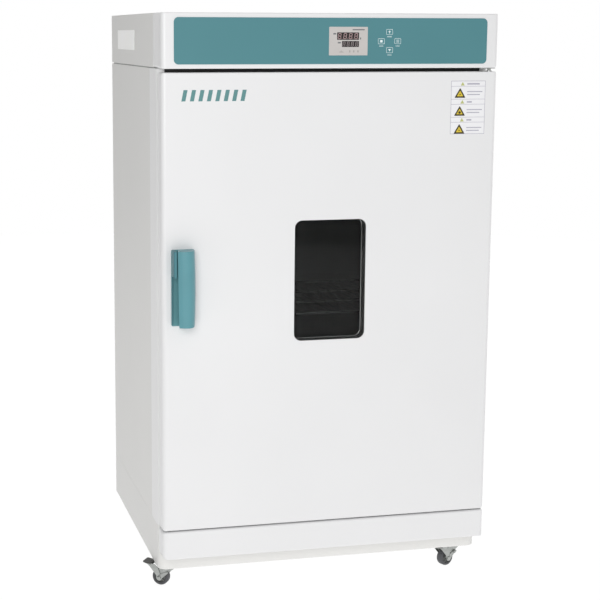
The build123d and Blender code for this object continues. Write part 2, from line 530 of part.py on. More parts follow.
# mains module on the rear of the header: a flanged inlet socket above a rocker switch
module = plate_y(ix - 16.5, ix + 16.5, iz - 26, iz + 26, DEPTH + 0.02, REAR_PROUD, 3)
module += blk(ix - 13.8, ix + 13.8, DEPTH - 27, DEPTH + 0.5, iz - 23.2, iz + 23.2)
socket_z = iz + 9.5
module -= plate_y(ix - 12.0, ix + 12.0, socket_z - 8.0, socket_z + 8.0, DEPTH - 16, REAR_PROUD + 3, 2.5)
for dxp, dzp in ((-7, -1.5), (7, -1.5), (0, 2.5)):
    module += blk(ix + dxp - 1, ix + dxp + 1, DEPTH - 16.5, DEPTH - 1.5, socket_z + dzp - 2.4, socket_z + dzp + 2.4)
rock_z = iz - 12.5
RC_Y = DEPTH - 3.4
module -= blk(ix - 10.6, ix + 10.6, DEPTH - 14.0, REAR_PROUD + 3, rock_z - 7.3, rock_z + 7.3)
for sx in (-1, 1):
    module += rod_x(ix + sx * 10.6 - 0.9, ix + sx * 10.6 + 0.9, RC_Y, rock_z, 1.4)
put("mains_module", module)
ROCKER_AXIS = (ix, RC_Y, rock_z)
ROCKER_DIR = [1, 0, 0]
rocker = poly([(-10.3, y, z) for y, z in ((5.6, 0), (4.2, 6.2), (0, 6.9), (-5, 5), (-5, -5), (0, -6.9), (4.2, -6.2))], (20.6, 0, 0))
rocker = Rot(-ROCKER_TURN / 2, 0, 0) * rocker
for sx in (-1, 1):
    rocker -= rod_x(sx * 10.3 - 1.4, sx * 10.3 + 1.4, 0, 0, 1.4 + RUN)
put("power_rocker", Pos(ix, RC_Y, rock_z) * rocker)

# ------------------------------------------------------------ castors
def castor_frame(name):
    x, y = CASTOR_AT[name]
    return Pos(x, y, 0) * Rot(0, 0, CASTOR_TURN[name])


mounts = []
for name, (x, y) in CASTOR_AT.items():
    m = Pos(x, y, CASTOR_H - 1.25) * Box(42, 42, 2.5)
    m = fillet(m.edges().filter_by(Axis.Z), 5)
    m += rod_z(x, y, 50.2, CASTOR_H - 2.0, 15.0)
    m += rod_z(x, y, 46.4, 51.0, 4.0)
    m += rod_z(x, y, 44.2, 46.8, 7.0)
    for a, b in SCREW_AT:
        m -= rod_z(x + a, y + b, 50, CASTOR_H + 1, 2.6)
        screws.append(pan_screw(x + a, y + b, CASTOR_H - 2.5, "-z", 7.0, r=4.2, h=2.4))
    mounts.append(m)
put("castor_plates", *mounts)

CH = (10.6, 12.6)                              # fork cheek, inner and outer faces
fork = Pos(0, 0, 48.5) * Cylinder(16.5, 3.0) + blk(0, 17, -CH[1], CH[1], 47, 50)
cheek = poly([(-10, 0, 50), (17, 0, 50), (29, 0, 34), (32, 0, 22), (29, 0, 14), (22, 0, 13), (17, 0, 19), (8, 0, 33), (-9, 0, 43)], (0, CH[1] - CH[0], 0))
cheek = fillet([e for e in cheek.edges().filter_by(Axis.Y) if e.center().Z < 25], 2.6)
fork += Pos(0, CH[0], 0) * cheek
fork += Pos(0, -CH[1], 0) * cheek
fork += Pos(TRAIL, 0, WHEEL_R) * Rot(90, 0, 0) * Cylinder(AXLE_R, 32)
for s in (-1, 1):
    end = Pos(TRAIL, s * 16.2, WHEEL_R) * Rot(90, 0, 0) * Cylinder(5.0, 2.4)
    fork += fillet(end.edges().filter_by(GeomType.CIRCLE), 0.9)
fork -= rod_z(0, 0, 40, 55, 4.0 + RUN)

wheel = Pos(TRAIL, 0, WHEEL_R) * Rot(90, 0, 0) * Cylinder(WHEEL_R, WHEEL_W)
wheel = fillet(wheel.edges().filter_by(GeomType.CIRCLE), 2.5)
for s in (-1, 1):
    dish = Pos(TRAIL, s * (WHEEL_W / 2 - 0.9), WHEEL_R) * Rot(90, 0, 0) * Cylinder(15.0, 2.0)
    core_ = Pos(TRAIL, s * (WHEEL_W / 2 - 0.9), WHEEL_R) * Rot(90, 0, 0) * Cylinder(6.5, 6.0)
    wheel -= dish - core_
    wheel += Pos(TRAIL, s * (WHEEL_W / 2), WHEEL_R) * Rot(90, 0, 0) * Cylinder(5.5, 3.0)
wheel -= Pos(TRAIL, 0, WHEEL_R) * Rot(90, 0, 0) * Cylinder(AXLE_R + RUN, 40)

PD = (12.75, 14.85)                            # pedal side plate, inner and outer faces


def pedal_side(v0, v1):
    a, h = TRAIL, WHEEL_R
    p = poly([(a - 6, 0, h + 6.5), (a + 7, 0, h + 5), (a + 23, 0, h + 24), (a + 31, 0, h + 31), (a + 22, 0, h + 32.4), (a + 15, 0, h + 27), (a + 2, 0, h + 8)], (0, v1 - v0, 0))
    q = poly([(a + 5, 0, h + 5), (a - 21, 0, h + 18.0), (a - 24, 0, h + 14.5), (a - 3, 0, h - 5)], (0, v1 - v0, 0))
    r = Pos(a, (v1 - v0) / 2, h) * Rot(90, 0, 0) * Cylinder(7.0, v1 - v0)
    return Pos(0, v0, 0) * (p + q + r)


pedal = pedal_side(*PD) + pedal_side(-PD[1], -PD[0])
a_, h_ = TRAIL, WHEEL_R
wing = poly([(a_ + 20, 0, h_ + 27.5), (a_ + 42.5, 0, h_ + 33.0), (a_ + 42.5, 0, h_ + 35.4), (a_ + 20, 0, h_ + 32.4)], (0, 2 * PD[1], 0))
wing = Pos(0, -PD[1], 0) * wing
wing = fillet([e for e in wing.edges() if e.center().X > a_ + 42 and e.length < 4], 4.0)
pedal += wing
for s in (-1, 1):
    pedal += Pos(0, s * (PD[1] + 1.2) - (1.2 if s > 0 else 1.2), 0) * poly([(a_ - 24, 0, h_ + 14.5), (a_ - 21, 0, h_ + 18), (a_ - 14.5, 0, h_ + 14.8), (a_ - 17.5, 0, h_ + 9.2)], (0, 2.4, 0))
pedal -= Pos(TRAIL, 0, WHEEL_R) * Rot(90, 0, 0) * Cylinder(AXLE_R + RUN, 60)
pedal -= Pos(TRAIL, 0, WHEEL_R) * Rot(90, 0, 0) * Cylinder(WHEEL_R + 1.5, 2 * WHEEL_W * 0.6)

for name in CASTOR_AT:
    f = castor_frame(name)
    put("castor_fork_" + name, f * fork)
    put("castor_wheel_" + name, f * wheel)
    put("castor_brake_" + name, f * pedal)

put("panel_screws", *screws)

# ------------------------------------------------------------ write the parts
if __name__ == "__main__":
    os.makedirs("parts", exist_ok=True)
    for old in os.listdir("parts"):
        if old.endswith(".step"):
            os.remove(os.path.join("parts", old))
    lo = [1e9] * 3
    hi = [-1e9] * 3
    for name, shape in NODES.items():
        export_step(shape, os.path.join("parts", name + ".step"))
        bb = shape.bounding_box()
        for i, (a, b) in enumerate(zip(tuple(bb.min), tuple(bb.max))):
            lo[i], hi[i] = min(lo[i], a), max(hi[i], b)
    print(len(NODES), "nodes; box", [round(v, 3) for v in lo], [round(v, 3) for v in hi], "shift", SHIFT_Y)
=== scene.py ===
import bpy, bmesh, json, math
from mathutils import Matrix, Vector


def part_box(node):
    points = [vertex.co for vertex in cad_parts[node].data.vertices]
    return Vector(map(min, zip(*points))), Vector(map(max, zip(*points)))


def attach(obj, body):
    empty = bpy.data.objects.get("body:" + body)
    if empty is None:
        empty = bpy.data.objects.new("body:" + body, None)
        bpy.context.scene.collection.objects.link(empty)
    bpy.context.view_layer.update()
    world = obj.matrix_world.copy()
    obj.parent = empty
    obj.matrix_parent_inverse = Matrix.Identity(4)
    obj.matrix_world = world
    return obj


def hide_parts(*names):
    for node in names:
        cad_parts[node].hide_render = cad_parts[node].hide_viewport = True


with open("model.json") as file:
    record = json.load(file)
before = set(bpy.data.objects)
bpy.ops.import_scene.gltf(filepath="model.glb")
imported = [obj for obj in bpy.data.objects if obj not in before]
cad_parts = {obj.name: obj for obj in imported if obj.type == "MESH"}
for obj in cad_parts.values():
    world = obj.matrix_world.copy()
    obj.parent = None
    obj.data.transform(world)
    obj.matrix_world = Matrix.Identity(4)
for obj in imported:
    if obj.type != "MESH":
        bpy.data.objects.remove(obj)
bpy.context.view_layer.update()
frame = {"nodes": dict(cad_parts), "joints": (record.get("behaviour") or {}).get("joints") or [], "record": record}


BODIES = frame["record"]["behaviour"]["bodies"]
JOINT = {j["name"]: j for j in frame["joints"]}
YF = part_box("door_outer_shell")[0].y          # the door's front face
MM = 0.001


def P(x, y, z):
    """A point in millimetres, y counted back from the door's front face."""
    return Vector((x * MM, y * MM + YF, z * MM))


# =============================================================== camera
W0 = 780.0
yaw, pitch, roll = math.radians(13.0176), math.radians(9.4360), math.radians(0.1027)
fw = Vector((math.sin(yaw) * math.cos(pitch), math.cos(yaw) * math.cos(pitch), -math.sin(pitch)))
r_ = fw.cross(Vector((0, 0, 1))).normalized()
u_ = r_.cross(fw)
cr, sr = math.cos(roll), math.sin(roll)
r2 = r_ * cr + u_ * sr
u2 = -r_ * sr + u_ * cr
cam = bpy.data.cameras.new("camera")
cam.sensor_width = 36.0
cam.sensor_fit = "HORIZONTAL"
cam.lens = 1479.349 / 600.0 * 36.0
cam.shift_x, cam.shift_y = (300.0 - 218.06) / 600.0, (280.14 - 300.0) / 600.0
cam.clip_start, cam.clip_end = 0.05, 60.0
cam_ob = bpy.data.objects.new("camera", cam)
m = Matrix((r2, u2, -fw)).transposed().to_4x4()
m.translation = P(-994.095, -3166.307, 1281.595)
cam_ob.matrix_world = m
bpy.context.scene.collection.objects.link(cam_ob)
bpy.context.scene.camera = cam_ob


# =============================================================== materials
def lin(r, g, b):
    def f(c):
        c /= 255.0
        return c / 12.92 if c <= 0.04045 else ((c + 0.055) / 1.055) ** 2.4
    return (f(r), f(g), f(b), 1.0)


def shade(c, k):
    return (min(c[0] * k, 1), min(c[1] * k, 1), min(c[2] * k, 1), 1.0)


def material(name, color, rough=0.4, metal=0.0, var=0.04, var_scale=6.0, bump=0.0, bump_scale=600.0,
             stretch=None, rough_var=0.06, coat=0.0, coat_rough=0.1, spec=None, ior=None, glow=0.0):
    """A procedural material: slow colour drift, roughness drift and fine relief."""
    mt = bpy.data.materials.new(name)
    mt.use_nodes = True
    nt = mt.node_tree
    b = nt.nodes["Principled BSDF"]
    b.inputs["Metallic"].default_value = metal
    if coat:
        b.inputs["Coat Weight"].default_value = coat
        b.inputs["Coat Roughness"].default_value = coat_rough
    if spec is not None:
        b.inputs["Specular IOR Level"].default_value = spec
    if ior is not None:
        b.inputs["IOR"].default_value = ior
    # glow adds white emission: a painted glow on a part that is no lamp
    if glow:
        b.inputs["Emission Color"].default_value = (1.0, 1.0, 1.0, 1.0)
        b.inputs["Emission Strength"].default_value = glow
    tc = nt.nodes.new("ShaderNodeTexCoord")
    mp = nt.nodes.new("ShaderNodeMapping")
    nt.links.new(tc.outputs["Object"], mp.inputs["Vector"])
    if stretch:
        mp.inputs["Scale"].default_value = stretch
    n1 = nt.nodes.new("ShaderNodeTexNoise")
    n1.inputs["Scale"].default_value = var_scale
    n1.inputs["Detail"].default_value = 4.0
    nt.links.new(mp.outputs["Vector"], n1.inputs["Vector"])
    ramp = nt.nodes.new("ShaderNodeValToRGB")
    ramp.color_ramp.elements[0].position = 0.3
    ramp.color_ramp.elements[1].position = 0.7
    ramp.color_ramp.elements[0].color = shade(color, 1 - var)
    ramp.color_ramp.elements[1].color = shade(color, 1 + var)
    nt.links.new(n1.outputs["Fac"], ramp.inputs["Fac"])
    nt.links.new(ramp.outputs["Color"], b.inputs["Base Color"])
    n2 = nt.nodes.new("ShaderNodeTexNoise")
    n2.inputs["Scale"].default_value = bump_scale
    n2.inputs["Detail"].default_value = 3.0
    nt.links.new(mp.outputs["Vector"], n2.inputs["Vector"])
    mr = nt.nodes.new("ShaderNodeMapRange")
    mr.inputs["To Min"].default_value = max(rough - rough_var, 0.02)
    mr.inputs["To Max"].default_value = min(rough + rough_var, 1.0)
    nt.links.new(n2.outputs["Fac"], mr.inputs["Value"])
    nt.links.new(mr.outputs["Result"], b.inputs["Roughness"])
    if bump:
        bp = nt.nodes.new("ShaderNodeBump")
        bp.inputs["Strength"].default_value = bump
        bp.inputs["Distance"].default_value = 0.0002
        nt.links.new(n2.outputs["Fac"], bp.inputs["Height"])
        nt.links.new(bp.outputs["Normal"], b.inputs["Normal"])
    return mt


M = {}
M["enamel"] = material("enamel_white", (0.80, 0.80, 0.805, 1), rough=0.36, var=0.012, var_scale=3.0, bump=0.22, bump_scale=900, rough_var=0.05, coat=0.25, coat_rough=0.18)
# warmer, slightly darker copy of the white enamel for the sides, header cover, rear and base: its tint is the sides'
# tone in shade, painted shade
M["enamel_shaded_side"] = material("enamel_white_shaded_side", (0.79, 0.785, 0.765, 1), rough=0.42, var=0.012, var_scale=3.0, bump=0.25, bump_scale=900, rough_var=0.05)
M["steel"] = material("stainless_brushed", (0.60, 0.60, 0.59, 1), rough=0.30, metal=1.0, var=0.06, var_scale=9, bump=0.10, bump_scale=220, stretch=(1.0, 1.0, 22.0), rough_var=0.10)
M["steel_h"] = material("stainless_brushed_level", (0.60, 0.60, 0.59, 1), rough=0.28, metal=1.0, var=0.06, var_scale=9, bump=0.10, bump_scale=220, stretch=(1.0, 22.0, 1.0), rough_var=0.10)
M["wire"] = material("stainless_wire", (0.66, 0.66, 0.65, 1), rough=0.18, metal=1.0, var=0.04, var_scale=40, bump=0.05, bump_scale=900, rough_var=0.06)
M["zinc"] = material("zinc_plate", (0.42, 0.435, 0.42, 1), rough=0.36, metal=1.0, var=0.10, var_scale=120, bump=0.12, bump_scale=900, rough_var=0.12)
M["pin"] = material("turned_steel", (0.55, 0.55, 0.55, 1), rough=0.22, metal=1.0, var=0.05, var_scale=60, bump=0.06, bump_scale=1200, stretch=(1, 1, 8))
M["teal_film"] = material("teal_film", lin(76, 132, 139), rough=0.42, var=0.02, var_scale=5, bump=0.10, bump_scale=2600, rough_var=0.05)
M["teal"] = material("teal_plastic", lin(91, 149, 158), rough=0.34, var=0.03, var_scale=14, bump=0.16, bump_scale=1500, rough_var=0.06)
# darker copy of the handle teal for the handle's block, left rim, ears and pin: painted shade on the faces turned away
# from the light
M["teal_dark"] = material("teal_plastic_painted_shade", lin(80, 130, 139), rough=0.42, spec=0.22, var=0.03, var_scale=14, bump=0.18, bump_scale=1500, rough_var=0.06)
# lighter copy of the handle teal for the back plate: painted light that lifts the shade in the handle's recess
M["teal_plate"] = material("teal_plastic_painted_recess_light", lin(98, 150, 156), rough=0.42, spec=0.25, var=0.03, var_scale=14, bump=0.18, bump_scale=1500, rough_var=0.06)
M["white_print"] = material("white_print", lin(226, 240, 240), rough=0.5, var=0.02, var_scale=30)
M["badge"] = material("teal_print", lin(92, 140, 141), rough=0.45, var=0.03, var_scale=20)
M["face_grey"] = material("display_face", lin(196, 192, 189), rough=0.4, var=0.02, var_scale=30, bump=0.05, bump_scale=2500)
M["face_line"] = material("display_print", lin(104, 106, 110), rough=0.5, var=0.02, var_scale=30)
M["face_soft"] = material("display_soft_print", lin(164, 161, 158), rough=0.5, var=0.02, var_scale=30)
M["led_black"] = material("led_window", lin(38, 33, 33), rough=0.22, var=0.05, var_scale=60)
M["led_off"] = material("led_segment", lin(178, 150, 150), rough=0.35, var=0.04, var_scale=200)
M["led_off2"] = material("led_segment_small", lin(150, 140, 140), rough=0.35, var=0.04, var_scale=200)
M["pedal"] = material("pedal_black", (0.050, 0.050, 0.048, 1), rough=0.30, var=0.10, var_scale=60, bump=0.2, bump_scale=1800)
# lighter copy of the white enamel for the front frame: the extra white is a painted highlight for the frame's rounded
# corners
M["enamel_frame"] = material("enamel_white_frame_painted_highlight", (0.85, 0.85, 0.85, 1), rough=0.36, var=0.01, var_scale=3.0, bump=0.15, bump_scale=900, rough_var=0.05)
M["black"] = material("black_plastic", (0.018, 0.018, 0.018, 1), rough=0.42, var=0.10, var_scale=60, bump=0.2, bump_scale=1800)
M["tyre"] = material("grey_tyre", lin(74, 75, 78), rough=0.55, var=0.08, var_scale=90, bump=0.2, bump_scale=1500)
M["hub"] = material("grey_hub", lin(108, 110, 108), rough=0.45, var=0.05, var_scale=90, bump=0.15, bump_scale=1500)
M["silicone"] = material("white_silicone", lin(232, 232, 228), rough=0.55, var=0.02, var_scale=20, bump=0.12, bump_scale=900)
# black seal rubber for the window seals; the same black fills the gap above the door as painted shade
M["seal"] = material("black_seal", (0.02, 0.02, 0.02, 1), rough=0.6, var=0.1, var_scale=80, bump=0.2, bump_scale=1200)
M["board"] = material("green_board", (0.02, 0.14, 0.06, 1), rough=0.45, var=0.15, var_scale=120, bump=0.1, bump_scale=900)
M["wool"] = material("glass_wool", (0.62, 0.55, 0.30, 1), rough=0.95, var=0.25, var_scale=90, bump=1.0, bump_scale=500)
M["motor"] = material("motor_paint", (0.03, 0.03, 0.032, 1), rough=0.45, var=0.08, var_scale=60, bump=0.2, bump_scale=900)
M["label"] = material("label_film", lin(238, 238, 240), rough=0.35, var=0.01, var_scale=20)
# the blank side plate film glows a little: painted light that brightens it
M["plate"] = material("plate_film_painted_glow", lin(240, 240, 238), rough=0.35, var=0.01, var_scale=20, glow=0.10)
M["label_text"] = material("label_text_print", lin(172, 170, 184), rough=0.4, var=0.03, var_scale=60)
M["label_line"] = material("label_grey_print", lin(158, 154, 172), rough=0.4, var=0.03, var_scale=60)
M["label_dark"] = material("label_dark_print", lin(50, 45, 20), rough=0.4, var=0.03, var_scale=60)
M["yellow"] = material("label_yellow_print", lin(216, 190, 52), rough=0.4, var=0.03, var_scale=60)
M["olive"] = material("label_small_print", lin(186, 190, 120), rough=0.4, var=0.03, var_scale=60)


def glass(name, tint, rough=0.0, ior=1.17):
    mt = bpy.data.materials.new(name)
    mt.use_nodes = True
    b = mt.node_tree.nodes["Principled BSDF"]
    b.inputs["Base Color"].default_value = tint
    b.inputs["Roughness"].default_value = rough
    b.inputs["Transmission Weight"].default_value = 1.0
    b.inputs["IOR"].default_value = ior
    return mt


M["glass"] = glass("clear_glass", (0.97, 0.98, 0.98, 1))
# inner pane darkened so the chamber behind it reads dark: painted shade of the chamber's interior
M["glass_dark"] = glass("inner_glass_painted_shade", (0.27, 0.28, 0.28, 1))
M["bead"] = material("polished_bead", (0.46, 0.46, 0.45, 1), rough=0.14, metal=1.0, var=0.03, var_scale=30, bump=0.03, bump_scale=900, rough_var=0.04)
# darkened copy of the tunnel metal: painted shade inside the window recess
M["tunnel"] = material("window_tunnel_painted_shade", (0.10, 0.10, 0.10, 1), rough=0.35, metal=0.4, var=0.08, var_scale=60, bump=0.06, bump_scale=500)

for name, ob in frame["nodes"].items():
    key = "enamel"
    # the sides, header cover, rear and base take the shaded copy of the enamel (painted shade)
    if name in ("side_panel_left", "side_panel_right", "header_cover", "rear_panel", "base_pan"):
        key = "enamel_shaded_side"
    elif name in ("chamber_liner", "rear_duct_plate", "shelf_rails", "shelf_clips", "temperature_probe", "heater_ring", "fan_impeller", "door_inner_pan", "window_tunnel"):
        key = "steel"
    elif name in ("body_top_plate", "control_tray", "hinge_brackets", "latch_keeper", "latch_tongue", "panel_screws", "castor_plates"):
        key = "zinc"
    elif name in ("hinge_bushes",):
        key = "pin"
    elif name in ("insulation_mats", "door_insulation"):
        key = "wool"
    elif name == "fan_motor":
        key = "motor"
    elif name == "control_board":
        key = "board"
    elif name in ("power_supply_and_relay", "mains_module", "power_rocker", "display_led_modules"):
        key = "black"
    elif name == "door_gasket":
        key = "silicone"
    elif name == "window_seals":
        key = "seal"
    elif name == "window_glass_panes":
        key = "glass"
    ob.data.materials.clear()
    ob.data.materials.append(M[key])


# =============================================================== mesh helpers
def new_object(name, mesh, mat=None, body="root", replaces=(), angle=32, weighted=True):
    ob = bpy.data.objects.new(name, mesh)
    bpy.context.scene.collection.objects.link(ob)
    if mat is not None:
        for x in (mat if isinstance(mat, (list, tuple)) else [mat]):
            mesh.materials.append(x)
    mesh.shade_smooth()
    mesh.set_sharp_from_angle(angle=math.radians(angle))
    if weighted:
        wn = ob.modifiers.new("weighted", "WEIGHTED_NORMAL")
        wn.keep_sharp = True
        wn.weight = 80
    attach(ob, body)
    if replaces:
        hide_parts(*replaces)
    return ob


def clean(bm):
    bmesh.ops.remove_doubles(bm, verts=bm.verts, dist=1e-7)
    bmesh.ops.recalc_face_normals(bm, faces=bm.faces)


def to_mesh(bm, name):
    me = bpy.data.meshes.new(name)
    clean(bm)
    bm.to_mesh(me)
    bm.free()
    return me


def loft_into(bm, rings, loop=False, start=True, end=True, mat=0):
    """Quads between rings of equal count; loop joins the last ring to the first."""
    vs = [[bm.verts.new(p) for p in ring] for ring in rings]
    n = len(vs[0])
    pairs = list(zip(vs, vs[1:])) + ([(vs[-1], vs[0])] if loop else [])
    for a, b in pairs:
        for i in range(n):
            j = (i + 1) % n
            f = bm.faces.new((a[i], a[j], b[j], b[i]))
            f.material_index = mat
    if not loop:
        if start:
            bm.faces.new(list(reversed(vs[0]))).material_index = mat
        if end:
            bm.faces.new(vs[-1]).material_index = mat
    return vs


def rrect(x0, x1, z0, z1, r, n=8):
    """Rounded rectangle, as (x, z, a): a is 0 on the upright sides and 90 on the level ones.
    r is one radius, or four: bottom left, bottom right, top right, top left."""
    rs = list(r) if isinstance(r, (list, tuple)) else [r] * 4
    lim = min(x1 - x0, z1 - z0) / 2 - 1e-4
    rs = [max(min(v, lim), 0.05) for v in rs]
    out = []
    for (cx, cz, a0), rad in zip(((x0, z0, 180), (x1, z0, 270), (x1, z1, 0), (x0, z1, 90)), rs):
        ox = cx + (rad if cx == x0 else -rad)
        oz = cz + (rad if cz == z0 else -rad)
        for i in range(n + 1):
            a = math.radians(a0 + 90.0 * i / n)
            c, s = math.cos(a), math.sin(a)
            out.append((ox + rad * c, oz + rad * s, abs(math.degrees(math.atan2(abs(s), abs(c))))))
    return out


def pan_rings(x0, x1, z0, z1, y0, y1, rv, rh, rc, t, k=7, n=8, hole=None, hole_r=17.0, lip=1.2):
    """Rings for a folded pan whose face is at y0: rounded upright edges rv, level edges rh, and corner radii rc in the front view."""
    rcs = list(rc) if isinstance(rc, (list, tuple)) else [rc] * 4
    rings = []

    def ring(ix, iz, dy, cut, depth=None):
        pts = rrect(x0 + ix, x1 - ix, z0 + iz, z1 - iz, [max(c - cut, 0.4) for c in rcs], n)
        out = []
        for x, z, a in pts:
            rr = math.hypot(rv * math.cos(math.radians(a)), rh * math.sin(math.radians(a)))
            y = depth if depth is not None else y0 + rr * dy
            out.append(P(x, y, z))
        return out

    rings.append(ring(0, 0, 0, 0, y1))
    rings.append(ring(0, 0, 0, 0, y0 + rv + 1.0))
    for i in range(k + 1):
        ph = math.radians(90.0 * i / k)
        c, s = 1 - math.cos(ph), 1 - math.sin(ph)
        rings.append(ring(rv * c, rh * c, s, 0.75 * rh * c + 0.25 * rv * c))
    if hole:
        hx0, hx1, hz0, hz1 = hole

        def hring(e, y):
            return [P(x, y, z) for x, z, a in rrect(hx0 - e, hx1 + e, hz0 - e, hz1 + e, hole_r + e, n)]

        rings.append(hring(lip + 6, y0))
        for i in range(5):
            ps = math.radians(90.0 * i / 4)
            rings.append(hring(lip * (1 - math.sin(ps)), y0 + lip * (1 - math.cos(ps))))
        rings.append(hring(0.0, y0 + t))
        ri = [P(x, y0 + t, z) for x, z, a in rrect(x0 + rv, x1 - rv, z0 + rh + t, z1 - rh - t, [max(c - t, 0.4) for c in rcs], n)]
        rings.append(ri)
    else:
        rings.append([P(x, y0 + t, z) for x, z, a in rrect(x0 + rv, x1 - rv, z0 + rh + t, z1 - rh - t, [max(c - t, 0.4) for c in rcs], n)])
    rings.append([P(x, y0 + rv, z) for x, z, a in rrect(x0 + t, x1 - t, z0 + t, z1 - t, [max(c - t, 0.4) for c in rcs], n)])
    rings.append([P(x, y1, z) for x, z, a in rrect(x0 + t, x1 - t, z0 + t, z1 - t, [max(c - t, 0.4) for c in rcs], n)])
    return rings


def pan_object(name, mat, body, replaces, slot, **kw):
    bm = bmesh.new()
    rings = pan_rings(**kw)
    if kw.get("hole"):
        loft_into(bm, rings, loop=True)
    else:
        k = kw.get("k", 7)
        vs = [[bm.verts.new(p) for p in ring] for ring in rings]
        n = len(vs[0])
        front = 2 + k                      # index of the last rounding ring
        for a, b in [(vs[i], vs[i + 1]) for i in range(front)] + [(vs[i], vs[i + 1]) for i in range(front + 1, len(vs) - 1)] + [(vs[-1], vs[0])]:
            for i in range(n):
                j = (i + 1) % n
                bm.faces.new((a[i], a[j], b[j], b[i]))
        bm.faces.new(vs[front])
        bm.faces.new(list(reversed(vs[front + 1])))
    return new_object(name, to_mesh(bm, name), mat, body, replaces, angle=40)


def prism(bm, pts, a, b, place, bevel=0.0, segs=2, mat=0):
    """Draws the closed polygon pts out from a to b; place(u, v, w) gives the point."""
    lo = [bm.verts.new(place(u, v, a)) for u, v in pts]
    hi = [bm.verts.new(place(u, v, b)) for u, v in pts]
    fs = [bm.faces.new(lo), bm.faces.new(list(reversed(hi)))]
    n = len(pts)
    for i in range(n):
        j = (i + 1) % n
        fs.append(bm.faces.new((lo[j], lo[i], hi[i], hi[j])))
    for f in fs:
        f.material_index = mat
    bmesh.ops.recalc_face_normals(bm, faces=fs)
    if bevel:
        es = list({e for f in fs for e in f.edges})
        es = [e for e in es if len(e.link_faces) == 2 and e.calc_face_angle(0) > math.radians(25)]
        out = bmesh.ops.bevel(bm, geom=es, offset=bevel * MM, segments=segs, profile=0.6, affect="EDGES", clamp_overlap=True)
        for f in out["faces"]:
            f.material_index = mat
    return fs


def xz(u, v, w):
    return P(u, w, v)


def rr_prism(bm, x0, x1, z0, z1, r, ya, yb, bevel=0.0, n=6, mat=0, segs=2):
    prism(bm, [(x, z) for x, z, a in rrect(x0, x1, z0, z1, r, n)], ya, yb, xz, bevel, segs, mat)


def lathe_into(bm, profile, place, segs=48, mat=0):
    """Turns a closed profile of (radius, along) round the axis; place(along, c, s) gives the point."""
    rings = []
    for i in range(segs):
        a = 2 * math.pi * i / segs
        rings.append([place(h, r * math.cos(a), r * math.sin(a)) for r, h in profile])
    vs = [[bm.verts.new(p) for p in ring] for ring in rings]
    n = len(profile)
    for i in range(segs):
        a, b = vs[i], vs[(i + 1) % segs]
        for k in range(n):
            j = (k + 1) % n
            try:
                bm.faces.new((a[k], a[j], b[j], b[k])).material_index = mat
            except ValueError:
                pass


def round_profile(pts, r, n=3):
    """Rounds the corners of a closed 2-D polygon."""
    out = []
    m_ = len(pts)
    for i in range(m_):
        p0, p1, p2 = Vector(pts[i - 1]), Vector(pts[i]), Vector(pts[(i + 1) % m_])
        d0, d2 = (p0 - p1), (p2 - p1)
        rr = min(r, d0.length * 0.45, d2.length * 0.45)
        a, b = p1 + d0.normalized() * rr, p1 + d2.normalized() * rr
        for k in range(n + 1):
            t = k / n
            q = a * (1 - t) ** 2 + p1 * 2 * t * (1 - t) + b * t ** 2
            out.append((q.x, q.y))
    return out


def box_into(bm, x0, x1, y0, y1, z0, z1, bevel=0.0, segs=2, mat=0):
    prism(bm, [(x0, z0), (x1, z0), (x1, z1), (x0, z1)], y0, y1, xz, bevel, segs, mat)


# =============================================================== cabinet front: door, fascia, kick panel
HALF = 390.0
WIN = (-85.0, 82.0, 595.0, 870.0)
pan_object("door_front_shell", M["enamel"], "door", ["door_outer_shell"], "white_enamel",
           x0=-HALF, x1=HALF, z0=166.3, z1=1199.4, y0=0.0, y1=41.0, rv=12.0, rh=2.8, rc=6.5, t=1.5, k=10, n=8, hole=WIN, hole_r=17.0)
pan_object("header_front", M["enamel"], "root", ["header_fascia"], "white_enamel",
           x0=-HALF, x1=HALF, z0=1207.6, z1=1328.2, y0=0.0, y1=89.0, rv=12.0, rh=2.8, rc=(8.0, 8.0, 5.0, 5.0), t=1.2, k=10, n=8)
pan_object("kick_cover", M["enamel"], "root", ["kick_panel"], "white_enamel",
           x0=-HALF, x1=HALF, z0=97.0, z1=162.8, y0=0.0, y1=47.9, rv=12.0, rh=4.0, rc=(13.0, 4.5, 6.0, 6.0), t=1.2, k=10, n=10)


# base pan and front frame, with rounded front corners
def plan_profile(x_in, y_front, r, y_back, t, flange=None, n=14):
    """Left half profile in plan, outer line then inner line back, as (x, y)."""
    out = [(x_in, y_front)]
    for i in range(n + 1):
        a = math.radians(270 - 90.0 * i / n)
        out.append((-HALF + r + r * math.cos(a), y_front + r + r * math.sin(a)))
    out.append((-HALF, y_back))
    if flange:
        out += [(flange, y_back), (flange, y_back - t), (-HALF + t, y_back - t)]
    else:
        out.append((-HALF + t, y_back))
    for i in range(n + 1):
        a = math.radians(180 + 90.0 * i / n)
        out.append((-HALF + r + (r - t) * math.cos(a), y_front + r + (r - t) * math.sin(a)))
    out.append((x_in, y_front + t))
    return out


bm = bmesh.new()
for sgn in (-1, 1):
    prof = plan_profile(-316.0, 48.0, 20.0, 133.5, 1.5, flange=-374.0)
    prism(bm, [(x * -sgn, y) for x, y in prof], 163.0, 1207.0, lambda u, v, w: P(u, v, w))
box_into(bm, -316, 316, 48.0, 49.5, 1140, 1207)
box_into(bm, -316, 316, 49.5, 62.0, 1205.5, 1207)
box_into(bm, -316, 316, 48.0, 49.5, 163, 226)
box_into(bm, -316, 316, 49.5, 62.0, 163, 164.5)
# the frame takes the lighter enamel copy, a painted highlight on its rounded corners
new_object("cabinet_front_frame", to_mesh(bm, "cabinet_front_frame"), M["enamel_frame"], "root", ["front_frame"], angle=30)

